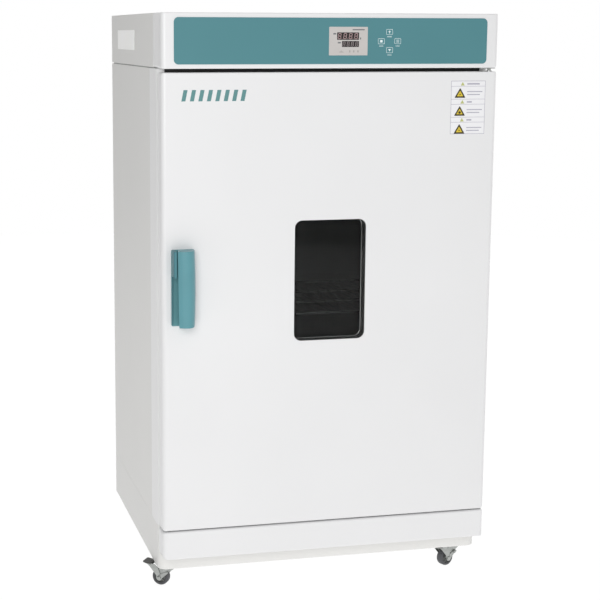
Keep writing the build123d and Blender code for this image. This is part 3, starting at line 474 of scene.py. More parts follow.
bm = bmesh.new()
outer = []
for sgn in (-1, 1):
    for i in range(15):
        a = math.radians((270 - 90.0 * i / 14) if sgn < 0 else (270 + 90.0 * i / 14))
        outer.append((sgn * (HALF - 20) + 20 * math.cos(a), 68 + 20 * math.sin(a), sgn))
left = [(x, y) for x, y, s in outer if s < 0]
right = [(x, y) for x, y, s in outer if s > 0]
loop = list(reversed(left)) + right + [(HALF, 669.0), (-HALF, 669.0)]
cx_, cy_ = 0.0, 358.5
inner = [(cx_ + (x - cx_) * (HALF - 1.5) / HALF, cy_ + (y - cy_) * (310.5 - 1.5) / 310.5) for x, y in loop]
rings = [[P(x, y, 163.0) for x, y in loop], [P(x, y, 58.6) for x, y in loop],
         [P(cx_ + (x - cx_) * (HALF - 0.5) / HALF, cy_ + (y - cy_) * 310 / 310.5, 58.0) for x, y in loop]]
vs = loft_into(bm, rings, start=False, end=True)
rin = [[P(x, y, 163.0) for x, y in inner], [P(x, y, 60.5) for x, y in inner]]
vi = loft_into(bm, rin, start=False, end=True)
n_ = len(loop)
for i in range(n_):
    j = (i + 1) % n_
    bm.faces.new((vs[0][i], vs[0][j], vi[0][j], vi[0][i]))
# the base takes the shaded copy of the enamel (painted shade)
new_object("base_tray", to_mesh(bm, "base_tray"), M["enamel_shaded_side"], "root", ["base_pan"], angle=30)

# =============================================================== control header details
bm = bmesh.new()
ow, oz0, oz1 = 361.0, 1217.0, 1318.0
KEYS = {"key_up": (129.7, 1289.0), "key_left": (110.8, 1268.8), "key_right": (149.2, 1269.1), "key_down": (130.4, 1249.2)}
rr_prism(bm, -ow, ow, oz0, oz1, 10.0, -0.95, -0.02, bevel=0.25, n=10)
new_object("fascia_film", to_mesh(bm, "fascia_film"), M["teal_film"], "root", ["fascia_overlay"], angle=30)

bm = bmesh.new()
rr_prism(bm, -12.0, 77.5, 1236.0, 1298.4, 1.6, -1.10, -0.90, bevel=0.05, mat=0)
ROWS = ((6.4, 57.2, 1270.0, 1286.2), (17.9, 57.2, 1254.3, 1267.3))
for x0, x1, z0, z1 in ROWS:
    rr_prism(bm, x0, x1, z0, z1, 0.6, -1.22, -1.05, bevel=0.04, mat=1)
# a fine printed border and small plain marks
for a in ((42.0, 70.2, 1290.9, 1293.2), (-2.5, 4.2, 1281.6, 1284.6), (8.2, 15.2, 1262.2, 1265.2), (59.6, 62.0, 1270.8, 1275.2)):
    rr_prism(bm, *a, 0.5, -1.15, -1.08, mat=2)
for a in ((11.8, 21.6, 1242.4, 1244.2), (15.4, 18.0, 1244.8, 1246.2), (34.6, 37.6, 1242.4, 1247.0), (43.8, 47.0, 1242.4, 1247.0), (53.4, 56.8, 1242.4, 1247.0)):
    rr_prism(bm, *a, 0.5, -1.15, -1.08, mat=3)
new_object("display_face", to_mesh(bm, "display_face"), [M["face_grey"], M["led_black"], M["face_line"], M["face_soft"]], "root", ["display_plate", "display_led_modules"], angle=30)


def seven_segment(bm, cx, cz, w, h, t, slant, on=(1,) * 7):
    """Seven plain bars of one digit, as thin raised prisms."""
    hw, hh = w / 2, h / 2
    segs = [((-hw, hh), (hw, hh)), ((hw, hh), (hw, 0)), ((hw, 0), (hw, -hh)), ((hw, -hh), (-hw, -hh)), ((-hw, -hh), (-hw, 0)), ((-hw, 0), (-hw, hh)), ((-hw, 0), (hw, 0))]
    for (a, b), o in zip(segs, on):
        if not o:
            continue
        a, b = Vector(a), Vector(b)
        d = (b - a).normalized()
        nrm = Vector((-d.y, d.x))
        a2, b2 = a + d * t * 0.62, b - d * t * 0.62
        pts = [a2 - d * t * 0.45, a2 + nrm * t / 2, b2 + nrm * t / 2, b2 + d * t * 0.45, b2 - nrm * t / 2, a2 - nrm * t / 2]
        prism(bm, [(cx + p.x + p.y * slant, cz + p.y) for p in pts], -1.27, -1.20, xz)


bm = bmesh.new()
x0, x1, z0, z1 = ROWS[0]
for i in range(4):
    cx = x0 + (x1 - x0) * (i + 0.5) / 4
    seven_segment(bm, cx - 0.5, (z0 + z1) / 2, 6.2, 11.6, 1.35, 0.12)
    rr_prism(bm, cx + 4.3, cx + 5.5, z0 + 1.9, z0 + 3.1, 0.5, -1.27, -1.20)
new_object("display_digits_upper", to_mesh(bm, "display_digits_upper"), M["led_off"], "root")
bm = bmesh.new()
x0, x1, z0, z1 = ROWS[1]
for i in range(4):
    cx = x0 + (x1 - x0) * (i + 0.5) / 4
    seven_segment(bm, cx - 0.4, (z0 + z1) / 2, 4.8, 8.9, 1.05, 0.12)
    rr_prism(bm, cx + 3.3, cx + 4.2, z0 + 1.7, z0 + 2.6, 0.4, -1.27, -1.20)
new_object("display_digits_lower", to_mesh(bm, "display_digits_lower"), M["led_off2"], "root")

for key, (kx, kz) in KEYS.items():
    kx, kz = kx - 1.4, kz - 1.8
    bm = bmesh.new()
    rr_prism(bm, kx - 8.2, kx + 8.2, kz - 6.75, kz + 6.75, 2.2, -1.22, -0.52, bevel=0.22, n=6, mat=0)
    # white outline
    o = [(x, z) for x, z, a in rrect(kx - 7.6, kx + 7.6, kz - 6.15, kz + 6.15, 1.8, 6)]
    i_ = [(x, z) for x, z, a in rrect(kx - 6.9, kx + 6.9, kz - 5.45, kz + 5.45, 1.2, 6)]
    rings = [[P(x, -1.20, z) for x, z in o], [P(x, -1.26, z) for x, z in o], [P(x, -1.26, z) for x, z in i_], [P(x, -1.20, z) for x, z in i_]]
    loft_into(bm, rings, loop=True, mat=1)
    if key == "key_up":
        prism(bm, [(kx - 3.2, kz + 0.2), (kx + 3.2, kz + 0.2), (kx, kz + 3.4)], -1.26, -1.20, xz, mat=1)
        rr_prism(bm, kx - 0.9, kx + 0.9, kz - 3.2, kz + 0.4, 0.2, -1.26, -1.20, mat=1)
    elif key == "key_down":
        prism(bm, [(kx - 3.4, kz + 2.2), (kx, kz - 2.8), (kx + 3.4, kz + 2.2)], -1.26, -1.20, xz, mat=1)
    elif key == "key_left":
        prism(bm, [(x, z) for x, z, a in rrect(kx - 2.9, kx + 2.9, kz - 2.7, kz + 2.7, 1.0, 4)], -1.26, -1.20, xz, mat=1)
    else:
        for k, w_ in enumerate((3.6, 3.0, 3.6)):
            rr_prism(bm, kx - w_, kx + w_, kz + 2.3 - k * 2.3 - 0.45, kz + 2.3 - k * 2.3 + 0.45, 0.2, -1.26, -1.20, mat=1)
    new_object("pad_" + key, to_mesh(bm, "pad_" + key), [M["teal_film"], M["white_print"]], key, [key], angle=30)

# printed strokes round the key cross, no lettering
bm = bmesh.new()
rr_prism(bm, 123.1, 133.6, 1276.2, 1277.4, 0.3, -1.02, -0.94)
rr_prism(bm, 104.6, 114.2, 1255.8, 1256.9, 0.3, -1.02, -0.94)
rr_prism(bm, 143.0, 152.6, 1256.0, 1257.1, 0.3, -1.02, -0.94)
rr_prism(bm, 124.0, 134.2, 1236.2, 1237.3, 0.3, -1.02, -0.94)
new_object("fascia_print", to_mesh(bm, "fascia_print"), M["white_print"], "root")

# blank plate on the left of the header; its film has a small painted glow
bm = bmesh.new()


def yz(u, v, w):
    return P(w, u, v)


prism(bm, [(y, z) for y, z, a in rrect(331.0, 568.0, 1244.5, 1291.5, 3.0, 6)], -390.9, -389.98, yz, bevel=0.25)
new_object("blank_side_plate", to_mesh(bm, "blank_side_plate"), M["plate"], "root")

# generic door badge: a row of plain slanted bars
bm = bmesh.new()
for i in range(8):
    bx = -344.7 + 18.9 * i
    prism(bm, [(bx, 1137.5), (bx + 9.0, 1137.5), (bx + 14.0, 1162.0), (bx + 5.0, 1162.0)], -0.14, 0.02, xz, bevel=0.04)
new_object("door_badge", to_mesh(bm, "door_badge"), M["badge"], "door")

# generic three-row notice: plain triangles and bars
bm = bmesh.new()
NX = -2.0
rr_prism(bm, 280.3 + NX, 363.0 + NX, 1058.6, 1178.7, 1.5, -0.10, 0.02, bevel=0.03, mat=0)
for a in ((280.6, 362.7, 1177.8, 1178.6), (280.6, 362.7, 1058.7, 1059.5), (280.4, 281.2, 1059.0, 1178.4), (362.1, 362.9, 1059.0, 1178.4)):
    rr_prism(bm, a[0] + NX, a[1] + NX, a[2], a[3], 0.1, -0.13, -0.09, mat=1)
for k in range(3):
    top = 1177.5 - k * 40.6
    rr_prism(bm, 281.0 + NX, 362.2 + NX, top - 11.4, top - 10.7, 0.1, -0.13, -0.09, mat=1)
    if k:
        rr_prism(bm, 281.0 + NX, 362.2 + NX, top + 0.1, top + 0.8, 0.1, -0.13, -0.09, mat=1)
    prism(bm, [(303.4 + NX, top - 9.4), (312.6 + NX, top - 9.4), (308.0 + NX, top - 1.2)], -0.14, -0.09, xz, mat=4)
    rr_prism(bm, 319.0 + NX, 349.0 + NX if k == 0 else 331.0 + NX, top - 7.4, top - 4.2, 0.4, -0.14, -0.09, mat=5)
    cz = top - 26.2
    tri = round_profile([(288.6 + NX, cz - 10.8), (315.4 + NX, cz - 10.8), (302.0 + NX, cz + 11.6)], 2.2, 3)
    prism(bm, tri, -0.14, -0.09, xz, mat=2)
    tri = round_profile([(294.3 + NX, cz - 7.4), (309.7 + NX, cz - 7.4), (302.0 + NX, cz + 5.6)], 1.2, 3)
    prism(bm, tri, -0.17, -0.13, xz, mat=3)
    rd = 3.0 if k == 1 else 1.5
    prism(bm, [(302.0 + NX + rd * math.cos(math.radians(q)), cz - 3.4 + rd * math.sin(math.radians(q))) for q in range(0, 360, 20)], -0.20, -0.16, xz, mat=2)
    for q, (w_, dz_) in enumerate(((37.0, 3.0), (31.0, -3.6))):
        rr_prism(bm, 319.0 + NX, 319.0 + NX + w_, cz + dz_ - 1.0, cz + dz_ + 1.0, 0.3, -0.14, -0.09, mat=5)
new_object("door_notice", to_mesh(bm, "door_notice"), [M["label"], M["label_line"], M["label_dark"], M["yellow"], M["olive"], M["label_text"]], "door", angle=30)

# =============================================================== window
wx0, wx1, wz0, wz1 = WIN
bm = bmesh.new()


def wring(e, y, n=10):
    return [P(x, y, z) for x, z, a in rrect(wx0 - e, wx1 + e, wz0 - e, wz1 + e, max(17.0 + e, 1.0), n)]


t_in = [wring(0.0 + 3.0 * (1 - math.cos(math.radians(a))), 7.2 + 3.0 * (1 - math.sin(math.radians(a)))) for a in (90, 67, 45, 22, 0)]
rings = [wring(11.0, 7.2), wring(3.0, 7.2)]
rings += [wring(3.0 * (1 - math.sin(math.radians(a))), 7.2 + 3.0 * (1 - math.cos(math.radians(a)))) for a in (22, 45, 67, 90)]
rings += [wring(3.0 * (1 - math.cos(math.radians(a))), 34.0 - 3.0 * (1 - math.sin(math.radians(a)))) for a in (0, 22, 45, 67)]
rings += [wring(3.0, 34.0), wring(11.0, 34.0), wring(11.0, 33.0), wring(1.2 + 2.0, 33.0), wring(1.2, 30.5), wring(1.2, 10.6), wring(3.2, 8.2), wring(11.0, 8.2)]
loft_into(bm, rings, loop=True)
# the tunnel takes the darkened metal, painted shade in the window recess
new_object("window_tunnel_ring", to_mesh(bm, "window_tunnel_ring"), M["tunnel"], "door", ["window_tunnel"], angle=40)
bm = bmesh.new()
for k, y in enumerate((1.62, 34.42)):
    prism(bm, [(x, z) for x, z, a in rrect(wx0 - 8, wx1 + 8, wz0 - 8, wz1 + 8, 25.0, 10)], y, y + 3.9, xz, bevel=0.5, mat=k)
# the inner pane takes the darkened glass, painted shade of the chamber
new_object("window_panes", to_mesh(bm, "window_panes"), [M["glass"], M["glass_dark"]], "door", ["window_glass_panes"], angle=30)
# polished bead that holds the inner pane
bm = bmesh.new()
rings = [wring(1.15 - 2.2 * math.sin(math.radians(a)), 32.2 - 1.7 * math.cos(math.radians(a))) for a in (0, 15, 30, 45, 60, 75, 90, 105, 120, 135, 150, 165, 180)]
loft_into(bm, rings, loop=True)
new_object("window_bead", to_mesh(bm, "window_bead"), M["bead"], "door", angle=60)

# door gasket: a soft ring with a rolled lip and a groove
bm = bmesh.new()


def gring(e, y, n=10):
    return [P(x, y, z) for x, z, a in rrect(-368.0 + e, 368.0 - e, 186.0 + e, 1180.0 - e, max(12.0 - e * 0.75, 1.0), n)]


prof = [(0.6, 41.0), (0.0, 41.8), (0.6, 43.2), (0.4, 45.0), (1.2, 46.6), (2.6, 47.5), (4.2, 47.3), (5.2, 46.0), (6.4, 45.0), (8.4, 45.0), (9.8, 46.0), (10.6, 47.3), (12.2, 47.5), (13.6, 46.6), (14.6, 45.0), (14.2, 43.2), (15.0, 41.8), (14.4, 41.0)]
loft_into(bm, [gring(e, y) for e, y in prof], loop=True)
new_object("door_gasket_ring", to_mesh(bm, "door_gasket_ring"), M["silicone"], "door", ["door_gasket"], angle=60)

# inner door skin: a flat flange with a raised panel round the window
bm = bmesh.new()


def dring(x0, x1, z0, z1, r, y, n=8):
    return [P(x, y, z) for x, z, a in rrect(x0, x1, z0, z1, r, n)]


zi0, zi1 = 168.0, 1198.5
rings = [dring(-388.3, 388.3, zi0, zi1, 4, 39.5), dring(-388.3, 388.3, zi0, zi1, 4, 41.0), dring(-300, 300, 250, 1116, 26, 41.0),
         dring(-297, 297, 253, 1113, 24, 39.9), dring(-294, 294, 256, 1110, 22, 39.6), dring(wx0 - 34, wx1 + 34, wz0 - 34, wz1 + 34, 40, 39.6), dring(wx0 - 31, wx1 + 31, wz0 - 31, wz1 + 31, 38, 39.9),
         dring(wx0 - 28, wx1 + 28, wz0 - 28, wz1 + 28, 36, 41.0), dring(wx0 - 1.5, wx1 + 1.5, wz0 - 1.5, wz1 + 1.5, 18.5, 41.0), dring(wx0, wx1, wz0, wz1, 17, 40.2), dring(wx0, wx1, wz0, wz1, 17, 39.5)]
loft_into(bm, rings, loop=True)
new_object("door_inner_skin", to_mesh(bm, "door_inner_skin"), M["steel"], "door", ["door_inner_pan"], angle=35)

# black strip along the top of the door opening: painted shade that darkens the gap between the door and the header
bm = bmesh.new()
box_into(bm, -373.0, 364.0, 44.4, 47.9, 1199.0, 1207.5, bevel=0.8)
new_object("header_gap_shade_strip", to_mesh(bm, "header_gap_shade_strip"), M["seal"], "root", angle=40)

# =============================================================== hinge pieces
bm = bmesh.new()


def xy(u, v, w):
    return P(u, v, w)


def plan_rr(x0, x1, y0, y1, r, n=5):
    return [(x, y) for x, y, a in rrect(x0, x1, y0, y1, r, n)]


prism(bm, plan_rr(350, 389, 8, 112, [6, 6, 1, 1]), 1205.8, 1207.5, xy, bevel=0.3)
prism(bm, plan_rr(350, 389, 8, 48, [6, 6, 0.5, 0.5]), 163.4, 165.8, xy, bevel=0.3)
box_into(bm, 350, 368, 45.6, 48.0, 165.8, 184, bevel=0.3)
for z0_, z1_ in ((1182.2, 1206.6), (164.0, 185.3)):
    lathe_into(bm, round_profile([(0.01, z0_), (4.0, z0_), (4.0, z1_), (0.01, z1_)], 0.5, 2), lambda h, c, s: P(378.0 + c, 22.0 + s, h), segs=32)
new_object("hinge_plates", to_mesh(bm, "hinge_plates"), M["zinc"], "root", ["hinge_brackets"], angle=35)
bm = bmesh.new()
for z0_, z1_ in ((1178.2, 1200.8), (166.3, 188.3)):
    lathe_into(bm, [(4.07, z0_), (7.0, z0_), (7.0, z1_ - 0.3), (6.7, z1_), (4.4, z1_), (4.07, z1_ - 0.3)], lambda h, c, s: P(378.0 + c, 22.0 + s, h), segs=36)
new_object("hinge_bush_rings", to_mesh(bm, "hinge_bush_rings"), M["pin"], "door", ["hinge_bushes"], angle=35)

# =============================================================== handle
OUT = [(-316.5, -8.2), (-317.7, -17.0), (-323.0, -30.0), (-334.0, -38.5), (-347.5, -37.2), (-358.6, -31.5)]
INN = [(-320.7, -8.2), (-321.9, -16.0), (-326.5, -27.0), (-334.8, -34.2), (-346.3, -33.2), (-355.8, -28.6)]
HX0, HX1 = -368.5, -316.5
HZ0, HZ1 = 642.0, 813.0
HZM, HZH = (HZ0 + HZ1) / 2, (HZ1 - HZ0) / 2


def spline(pts, n):
    """Catmull-Rom through the points."""
    q = [2 * Vector(pts[0]) - Vector(pts[1])] + [Vector(p) for p in pts] + [2 * Vector(pts[-1]) - Vector(pts[-2])]
    out = []
    for i in range(1, len(q) - 2):
        for k in range(n):
            t = k / n
            a, b, c, d = q[i - 1], q[i], q[i + 1], q[i + 2]
            out.append(0.5 * ((2 * b) + (c - a) * t + (2 * a - 5 * b + 4 * c - d) * t * t + (3 * b - a - 3 * c + d) * t ** 3))
    out.append(q[-2])
    return [(p.x, p.y) for p in out]


so, si = spline(OUT, 7), spline(INN, 7)


def barrel(x, z):
    """The lever is a little wider at the middle of its height, and its free edge leans."""
    t = (z - HZM) / HZH
    s_ = min(max((x - OUT[0][0]) / (OUT[-1][0] - OUT[0][0]), 0.0), 1.0)
    right = -1.4 + 2.1 * (1 - t * t)
    left = 0.7 - 1.5 * t
    return x + (1 - s_) * right + s_ * left


def LP(x, y, z):
    return P(barrel(x, z), y, z)


def rim_section(inset):
    """The lever's outer line pulled in by inset along its own normal."""
    out = []
    for i, (x, y) in enumerate(so):
        a, b = so[max(i - 1, 0)], so[min(i + 1, len(so) - 1)]
        d = Vector((b[0] - a[0], b[1] - a[1])).normalized()
        nrm = Vector((-d.y, d.x))
        c = Vector((-336.0, -16.0))
        if nrm.dot(c - Vector((x, y))) < 0:
            nrm = -nrm
        out.append((x + nrm.x * inset, y + nrm.y * inset))
    return out


def full_section(inset):
    return rim_section(inset) + [(-354.0 + inset, -6.0 - inset * 0.2)]


bm = bmesh.new()
RIM = 1.4
for z_end, z_in, sg in ((HZ1, HZ1 - 4.6, 1), (HZ0, HZ0 + 4.6, -1)):
    rings = [[LP(x, y, z_in) for x, y in full_section(0.0)]]
    for a in (0, 18, 36, 54, 72, 90):
        ph = math.radians(a)
        rings.append([LP(x, y, z_end - sg * RIM * (1 - math.sin(ph))) for x, y in full_section(RIM * (1 - math.cos(ph)))])
    loft_into(bm, rings, start=True, end=True)
# the curved shell between the ends, with its free edge rolled
tip_o, tip_i = Vector(so[-1]), Vector(si[-1])
mid, rad = (tip_o + tip_i) / 2, (tip_o - tip_i).length / 2
d_out = Vector((so[-1][0] - so[-2][0], so[-1][1] - so[-2][1])).normalized()
roll_pts = []
for a in (30, 60, 90, 120, 150):
    q = math.radians(a)
    roll_pts.append(tuple(mid + (tip_o - mid) * math.cos(q) + d_out * rad * math.sin(q) * 0.6))
sec = so + roll_pts + list(reversed(si))
loft_into(bm, [[LP(x, y, HZ0 + 4.6 + (HZ1 - HZ0 - 9.2) * k / 12) for x, y in sec] for k in range(13)], start=True, end=True)
lx, ly = -324.0, -10.0
lathe_into(bm, [(2.07, HZ0 + 13), (4.2, HZ0 + 13), (4.2, HZ1 - 13), (2.07, HZ1 - 13)], lambda h, c, s: P(lx + c, ly + s, h), segs=28)
box_into(bm, lx + 2.6, lx + 4.4, ly - 2, ly + 2, HZ0 + 13, HZ1 - 13)
box_into(bm, lx - 2.0, lx + 2.0, ly + 2.2, 17.0, 726.0, 734.0, bevel=0.4)
new_object("lever_shell", to_mesh(bm, "lever_shell"), M["teal"], "handle_lever", ["handle_lever"], angle=38)

bm = bmesh.new()
# back plate with an opening for the lever's arm, a raised left rim, the upper block, ears and pin
o4 = [(x, z) for x, z, a in rrect(HX0, HX1, HZ0, HZ1, 3.0, 6)]
i4 = [(x, z) for x, z, a in rrect(-333.0, -320.0, 724.5, 735.5, 1.0, 6)]
b4 = [(x, z) for x, z, a in rrect(HX0 + 0.8, HX1 - 0.8, HZ0 + 0.8, HZ1 - 0.8, 2.4, 6)]
rings = [[P(x, 0.0, z) for x, z in o4], [P(x, -3.7, z) for x, z in o4], [P(x, -4.5, z) for x, z in b4], [P(x, -4.5, z) for x, z in i4], [P(x, 0.0, z) for x, z in i4]]
# the back plate uses slot 1, the lighter teal copy: painted light in the recess
loft_into(bm, rings, loop=True, mat=1)
rim = [(HX0, -4.0), (HX0, -8.0), (HX0 + 0.9, -9.0), (HX0 + 1.8, -8.6), (HX0 + 2.4, -7.4), (HX0 + 2.6, -4.0)]
prism(bm, rim, HZ0 + 3, 756.0, xy, bevel=0.3)
pts = [(HX0 + 7.0, -3.0), (HX0 + 7.0, -32.0), (HX0 + 6.3, -33.0)]
for k in range(7):
    a = math.radians(270 - 15 * k)
    pts.append((HX0 + 4.4 + 4.4 * math.cos(a), -28.6 + 4.4 * math.sin(a)))
pts.append((HX0, -3.0))


def low_z(x):
    u = x - HX0
    return 755.0 - 2.5 * (u / 5.4) if u <= 5.4 else 752.5 + 5.0 * ((u - 5.4) / 1.6)


def top_in(pts_, k):
    c = Vector((HX0 + 4.1, -17.0))
    out = []
    for x, y in pts_:
        d = c - Vector((x, y))
        d.normalize()
        out.append((x + d.x * k, y + d.y * k))
    return out


dense = []
for a, b in zip(pts, pts[1:] + pts[:1]):
    for k in range(3):
        dense.append((a[0] + (b[0] - a[0]) * k / 3, a[1] + (b[1] - a[1]) * k / 3))
rings = [[P(x, y, low_z(x)) for x, y in top_in(dense, 0.7)], [P(x, y, low_z(x) + 0.8) for x, y in dense],
         [P(x, y, HZ1 - 1.6) for x, y in dense], [P(x, y, HZ1 - 0.5) for x, y in top_in(dense, 0.5)], [P(x, y, HZ1) for x, y in top_in(dense, 1.5)]]
loft_into(bm, rings, start=True, end=True)
for z in (HZ0 + 7, HZ1 - 12):
    box_into(bm, lx - 5, lx + 0.8, -14.0, -3.5, z, z + 5, bevel=0.5)
lathe_into(bm, [(0.01, HZ0 + 9), (2.0, HZ0 + 9), (2.0, HZ1 - 9), (0.01, HZ1 - 9)], lambda h, c, s: P(lx + c, ly + s, h), segs=20)
# slot 0 is the darker teal copy, painted shade on the rim, block, ears and pin; slot 1 is the lighter teal copy,
# painted light in the back plate's recess
new_object("handle_back", to_mesh(bm, "handle_back"), [M["teal_dark"], M["teal_plate"]], "door", ["handle_base"], angle=38)

# =============================================================== castors
CASTORS = {
    "front_left": ((-352.0, 96.0), math.degrees(math.atan2(0.57, -0.82))),
    "front_right": ((352.0, 96.0), math.degrees(math.atan2(-0.40, -0.92))),
    "rear_left": ((-352.0, 574.0), 62.0),
    "rear_right": ((352.0, 574.0), math.degrees(math.atan2(-0.57, 0.82))),
}
FORK = [(-10, 50), (23, 50), (34, 36), (33.5, 22), (29, 14), (22, 13), (17, 19), (8, 33), (-9, 43)]
for name, ((cx, cy), deg) in CASTORS.items():
    ang = math.radians(deg)
    ca, sa = math.cos(ang), math.sin(ang)

    def L(u, v, w, cx=cx, cy=cy, ca=ca, sa=sa):
        """Castor point: u along the trail, v across, w up."""
        return P(cx + u * ca - v * sa, cy + u * sa + v * ca, w)

    def Luw(u, w, v):
        return L(u, v, w)

    # wheel: dark tyre, lighter hub with spokes
    prof_t = [(13.4, -7.6), (14.2, -8.5), (17.6, -8.5), (19.0, -7.9), (19.7, -6.6), (20.0, -4.5), (20.0, 4.5), (19.7, 6.6), (19.0, 7.9), (17.6, 8.5), (14.2, 8.5), (13.4, 7.6)]
    bm = bmesh.new()
    lathe_into(bm, prof_t, lambda v, c, s: L(25.0 + c, v, 20.0 + s), segs=56)
    nt = len(bm.faces)
    prof_h = [(2.55, -8.2), (5.6, -8.2), (6.0, -7.6), (6.4, -4.2), (12.0, -3.4), (13.0, -4.6), (13.42, -7.0), (13.42, 7.0), (13.0, 4.6), (12.0, 3.4), (6.4, 4.2), (6.0, 7.6), (5.6, 8.2), (2.55, 8.2)]
    lathe_into(bm, prof_h, lambda v, c, s: L(25.0 + c, v, 20.0 + s), segs=56, mat=1)
    for k in range(5):
        t = math.radians(72 * k + 12)
        for sg in (-1, 1):
            pts = [(5.6, -1.1), (13.2, -1.1), (13.2, 1.1), (5.6, 1.1)]
            q = [(r * math.cos(t) - w * math.sin(t), r * math.sin(t) + w * math.cos(t)) for r, w in pts]
            prism(bm, q, sg * 3.2, sg * 6.4, lambda a, b, v: L(25.0 + a, v, 20.0 + b), bevel=0.3, mat=1)
    new_object("wheel_" + name, to_mesh(bm, "wheel_" + name), [M["tyre"], M["hub"]], "castor_wheel_" + name, ["castor_wheel_" + name], angle=40)

    # fork: pressed zinc head, two cheeks, axle, ball race
    bm = bmesh.new()
    lathe_into(bm, [(4.2, 47.0), (13.5, 47.0), (16.0, 47.5), (16.5, 48.6), (16.3, 49.6), (15.2, 50.0), (13.0, 50.4), (4.2, 50.4)], lambda h, c, s: L(c, s, h), segs=48)
    lathe_into(bm, [(0.01, 44.2), (5.4, 44.2), (6.6, 45.0), (7.0, 46.0), (7.0, 46.95), (0.01, 46.95)], lambda h, c, s: L(c, s, h), segs=36)
    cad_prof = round_profile(FORK, 2.6, 4)
    for sg in (-1, 1):
        prism(bm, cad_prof, sg * 10.6, sg * 12.6, Luw, bevel=0.45)
        # pressed bridge between head and cheek
        prism(bm, [(-9.0, 46.6), (16.0, 46.6), (14.0, 49.6), (-8.0, 49.6)], sg * 8.6, sg * 12.2, Luw, bevel=0.5)
        lathe_into(bm, [(0.01, sg * 12.5), (5.0, sg * 12.5), (5.0, sg * 15.6), (4.2, sg * 16.9), (3.0, sg * 17.3), (0.01, sg * 17.4)], lambda v, c, s: L(25.0 + c, v, 20.0 + s), segs=28)
    prism(bm, [(-9.6, 43.4), (15.5, 43.4), (16.5, 47.2), (-9.6, 47.2)], -10.9, 10.9, Luw, bevel=0.5)
    lathe_into(bm, [(0.01, -12.4), (2.5, -12.4), (2.5, 12.4), (0.01, 12.4)], lambda v, c, s: L(25.0 + c, v, 20.0 + s), segs=20)
    new_object("fork_" + name, to_mesh(bm, "fork_" + name), M["zinc"], "castor_fork_" + name, ["castor_fork_" + name], angle=36)

    # brake: zinc stirrup with a black pad on the tread
    a, h = 25.0, 20.0
    arm = round_profile([(a - 6, h + 6.5), (a + 7, h + 5), (a + 23, h + 24), (a + 31, h + 31), (a + 22, h + 32.4), (a + 11, h + 31.0), (a + 3, h + 24), (a - 3, h + 10)], 1.6, 3)
    ear = round_profile([(a + 5, h + 5), (a - 21, h + 18), (a - 24, h + 14.5), (a - 3, h - 5)], 1.4, 3)
    bm = bmesh.new()
    for sg in (-1, 1):
        prism(bm, arm, sg * 12.8, sg * 14.8, Luw, bevel=0.4, mat=0)
        prism(bm, ear, sg * 12.8, sg * 14.8, Luw, bevel=0.4, mat=0)
        prism(bm, round_profile([(a - 24, h + 14.5), (a - 21, h + 18), (a - 14.5, h + 14.8), (a - 17.5, h + 9.2)], 1.2, 3), sg * 14.7, sg * 17.2, Luw, bevel=0.5, mat=0)
        lathe_into(bm, [(5.1, sg * 12.78), (7.0, sg * 12.78), (7.0, sg * 14.6), (6.6, sg * 14.82), (5.1, sg * 14.82)], lambda v, c, s: L(25.0 + c, v, 20.0 + s), segs=36, mat=0)
    # the tread: metal below, black pad above, tip corners rounded
    vw = 14.8

    def tread(z_lo0, z_lo1, z_hi0, z_hi1, grow, mat, bev):
        u0, u1, cr_ = a + 20.0 + (0 if mat == 0 else 0.6), a + 42.4, 4.0
        pts = [(u0, -vw + grow), (u1 - cr_, -vw + grow)]
        for k in range(6):
            q = math.radians(-90 + 18 * k)
            pts.append((u1 - cr_ + cr_ * math.cos(q), -vw + grow + cr_ + cr_ * math.sin(q)))
        pts2 = [(u, -v) for u, v in reversed(pts)]
        outline = pts + pts2
        lo = [bm.verts.new(L(u, v, h + z_lo0 + (z_lo1 - z_lo0) * (u - u0) / (u1 - u0))) for u, v in outline]
        hi = [bm.verts.new(L(u, v, h + z_hi0 + (z_hi1 - z_hi0) * (u - u0) / (u1 - u0))) for u, v in outline]
        fs = [bm.faces.new(lo), bm.faces.new(list(reversed(hi)))]
        n = len(outline)
        for i in range(n):
            j = (i + 1) % n
            fs.append(bm.faces.new((lo[j], lo[i], hi[i], hi[j])))
        for f in fs:
            f.material_index = mat
        bmesh.ops.recalc_face_normals(bm, faces=fs)
        es = [e for e in {e for f in fs for e in f.edges} if len(e.link_faces) == 2 and e.calc_face_angle(0) > math.radians(40)]
        out = bmesh.ops.bevel(bm, geom=es, offset=bev * MM, segments=2, profile=0.6, affect="EDGES", clamp_overlap=True)
        for f in out["faces"]:
            f.material_index = mat

    tread(27.6, 33.1, 29.2, 34.0, 0.0, 0, 0.3)
    tread(29.2, 34.0, 32.3, 35.38, 0.0, 1, 0.5)
    new_object("brake_" + name, to_mesh(bm, "brake_" + name), [M["zinc"], M["pedal"]], "castor_brake_" + name, ["castor_brake_" + name], angle=36)

# castor mounting plates
bm = bmesh.new()
for (cx, cy), deg in CASTORS.values():
    prism(bm, [(x, y) for x, y, a in rrect(cx - 21, cx + 21, cy - 21, cy + 21, 3.5, 4)], 55.5, 58.0, xy, bevel=0.35)
    lathe_into(bm, [(0.01, 50.6), (4.0, 50.6), (14.2, 51.0), (15.0, 52.2), (15.0, 54.8), (14.2, 56.0), (0.01, 56.0)], lambda h, c, s, cx=cx, cy=cy: P(cx + c, cy + s, h), segs=40)
    lathe_into(bm, [(0.01, 46.9), (4.0, 46.9), (4.0, 51.0), (0.01, 51.0)], lambda h, c, s, cx=cx, cy=cy: P(cx + c, cy + s, h), segs=24)
new_object("castor_mounts", to_mesh(bm, "castor_mounts"), M["zinc"], "root", ["castor_plates"], angle=36)

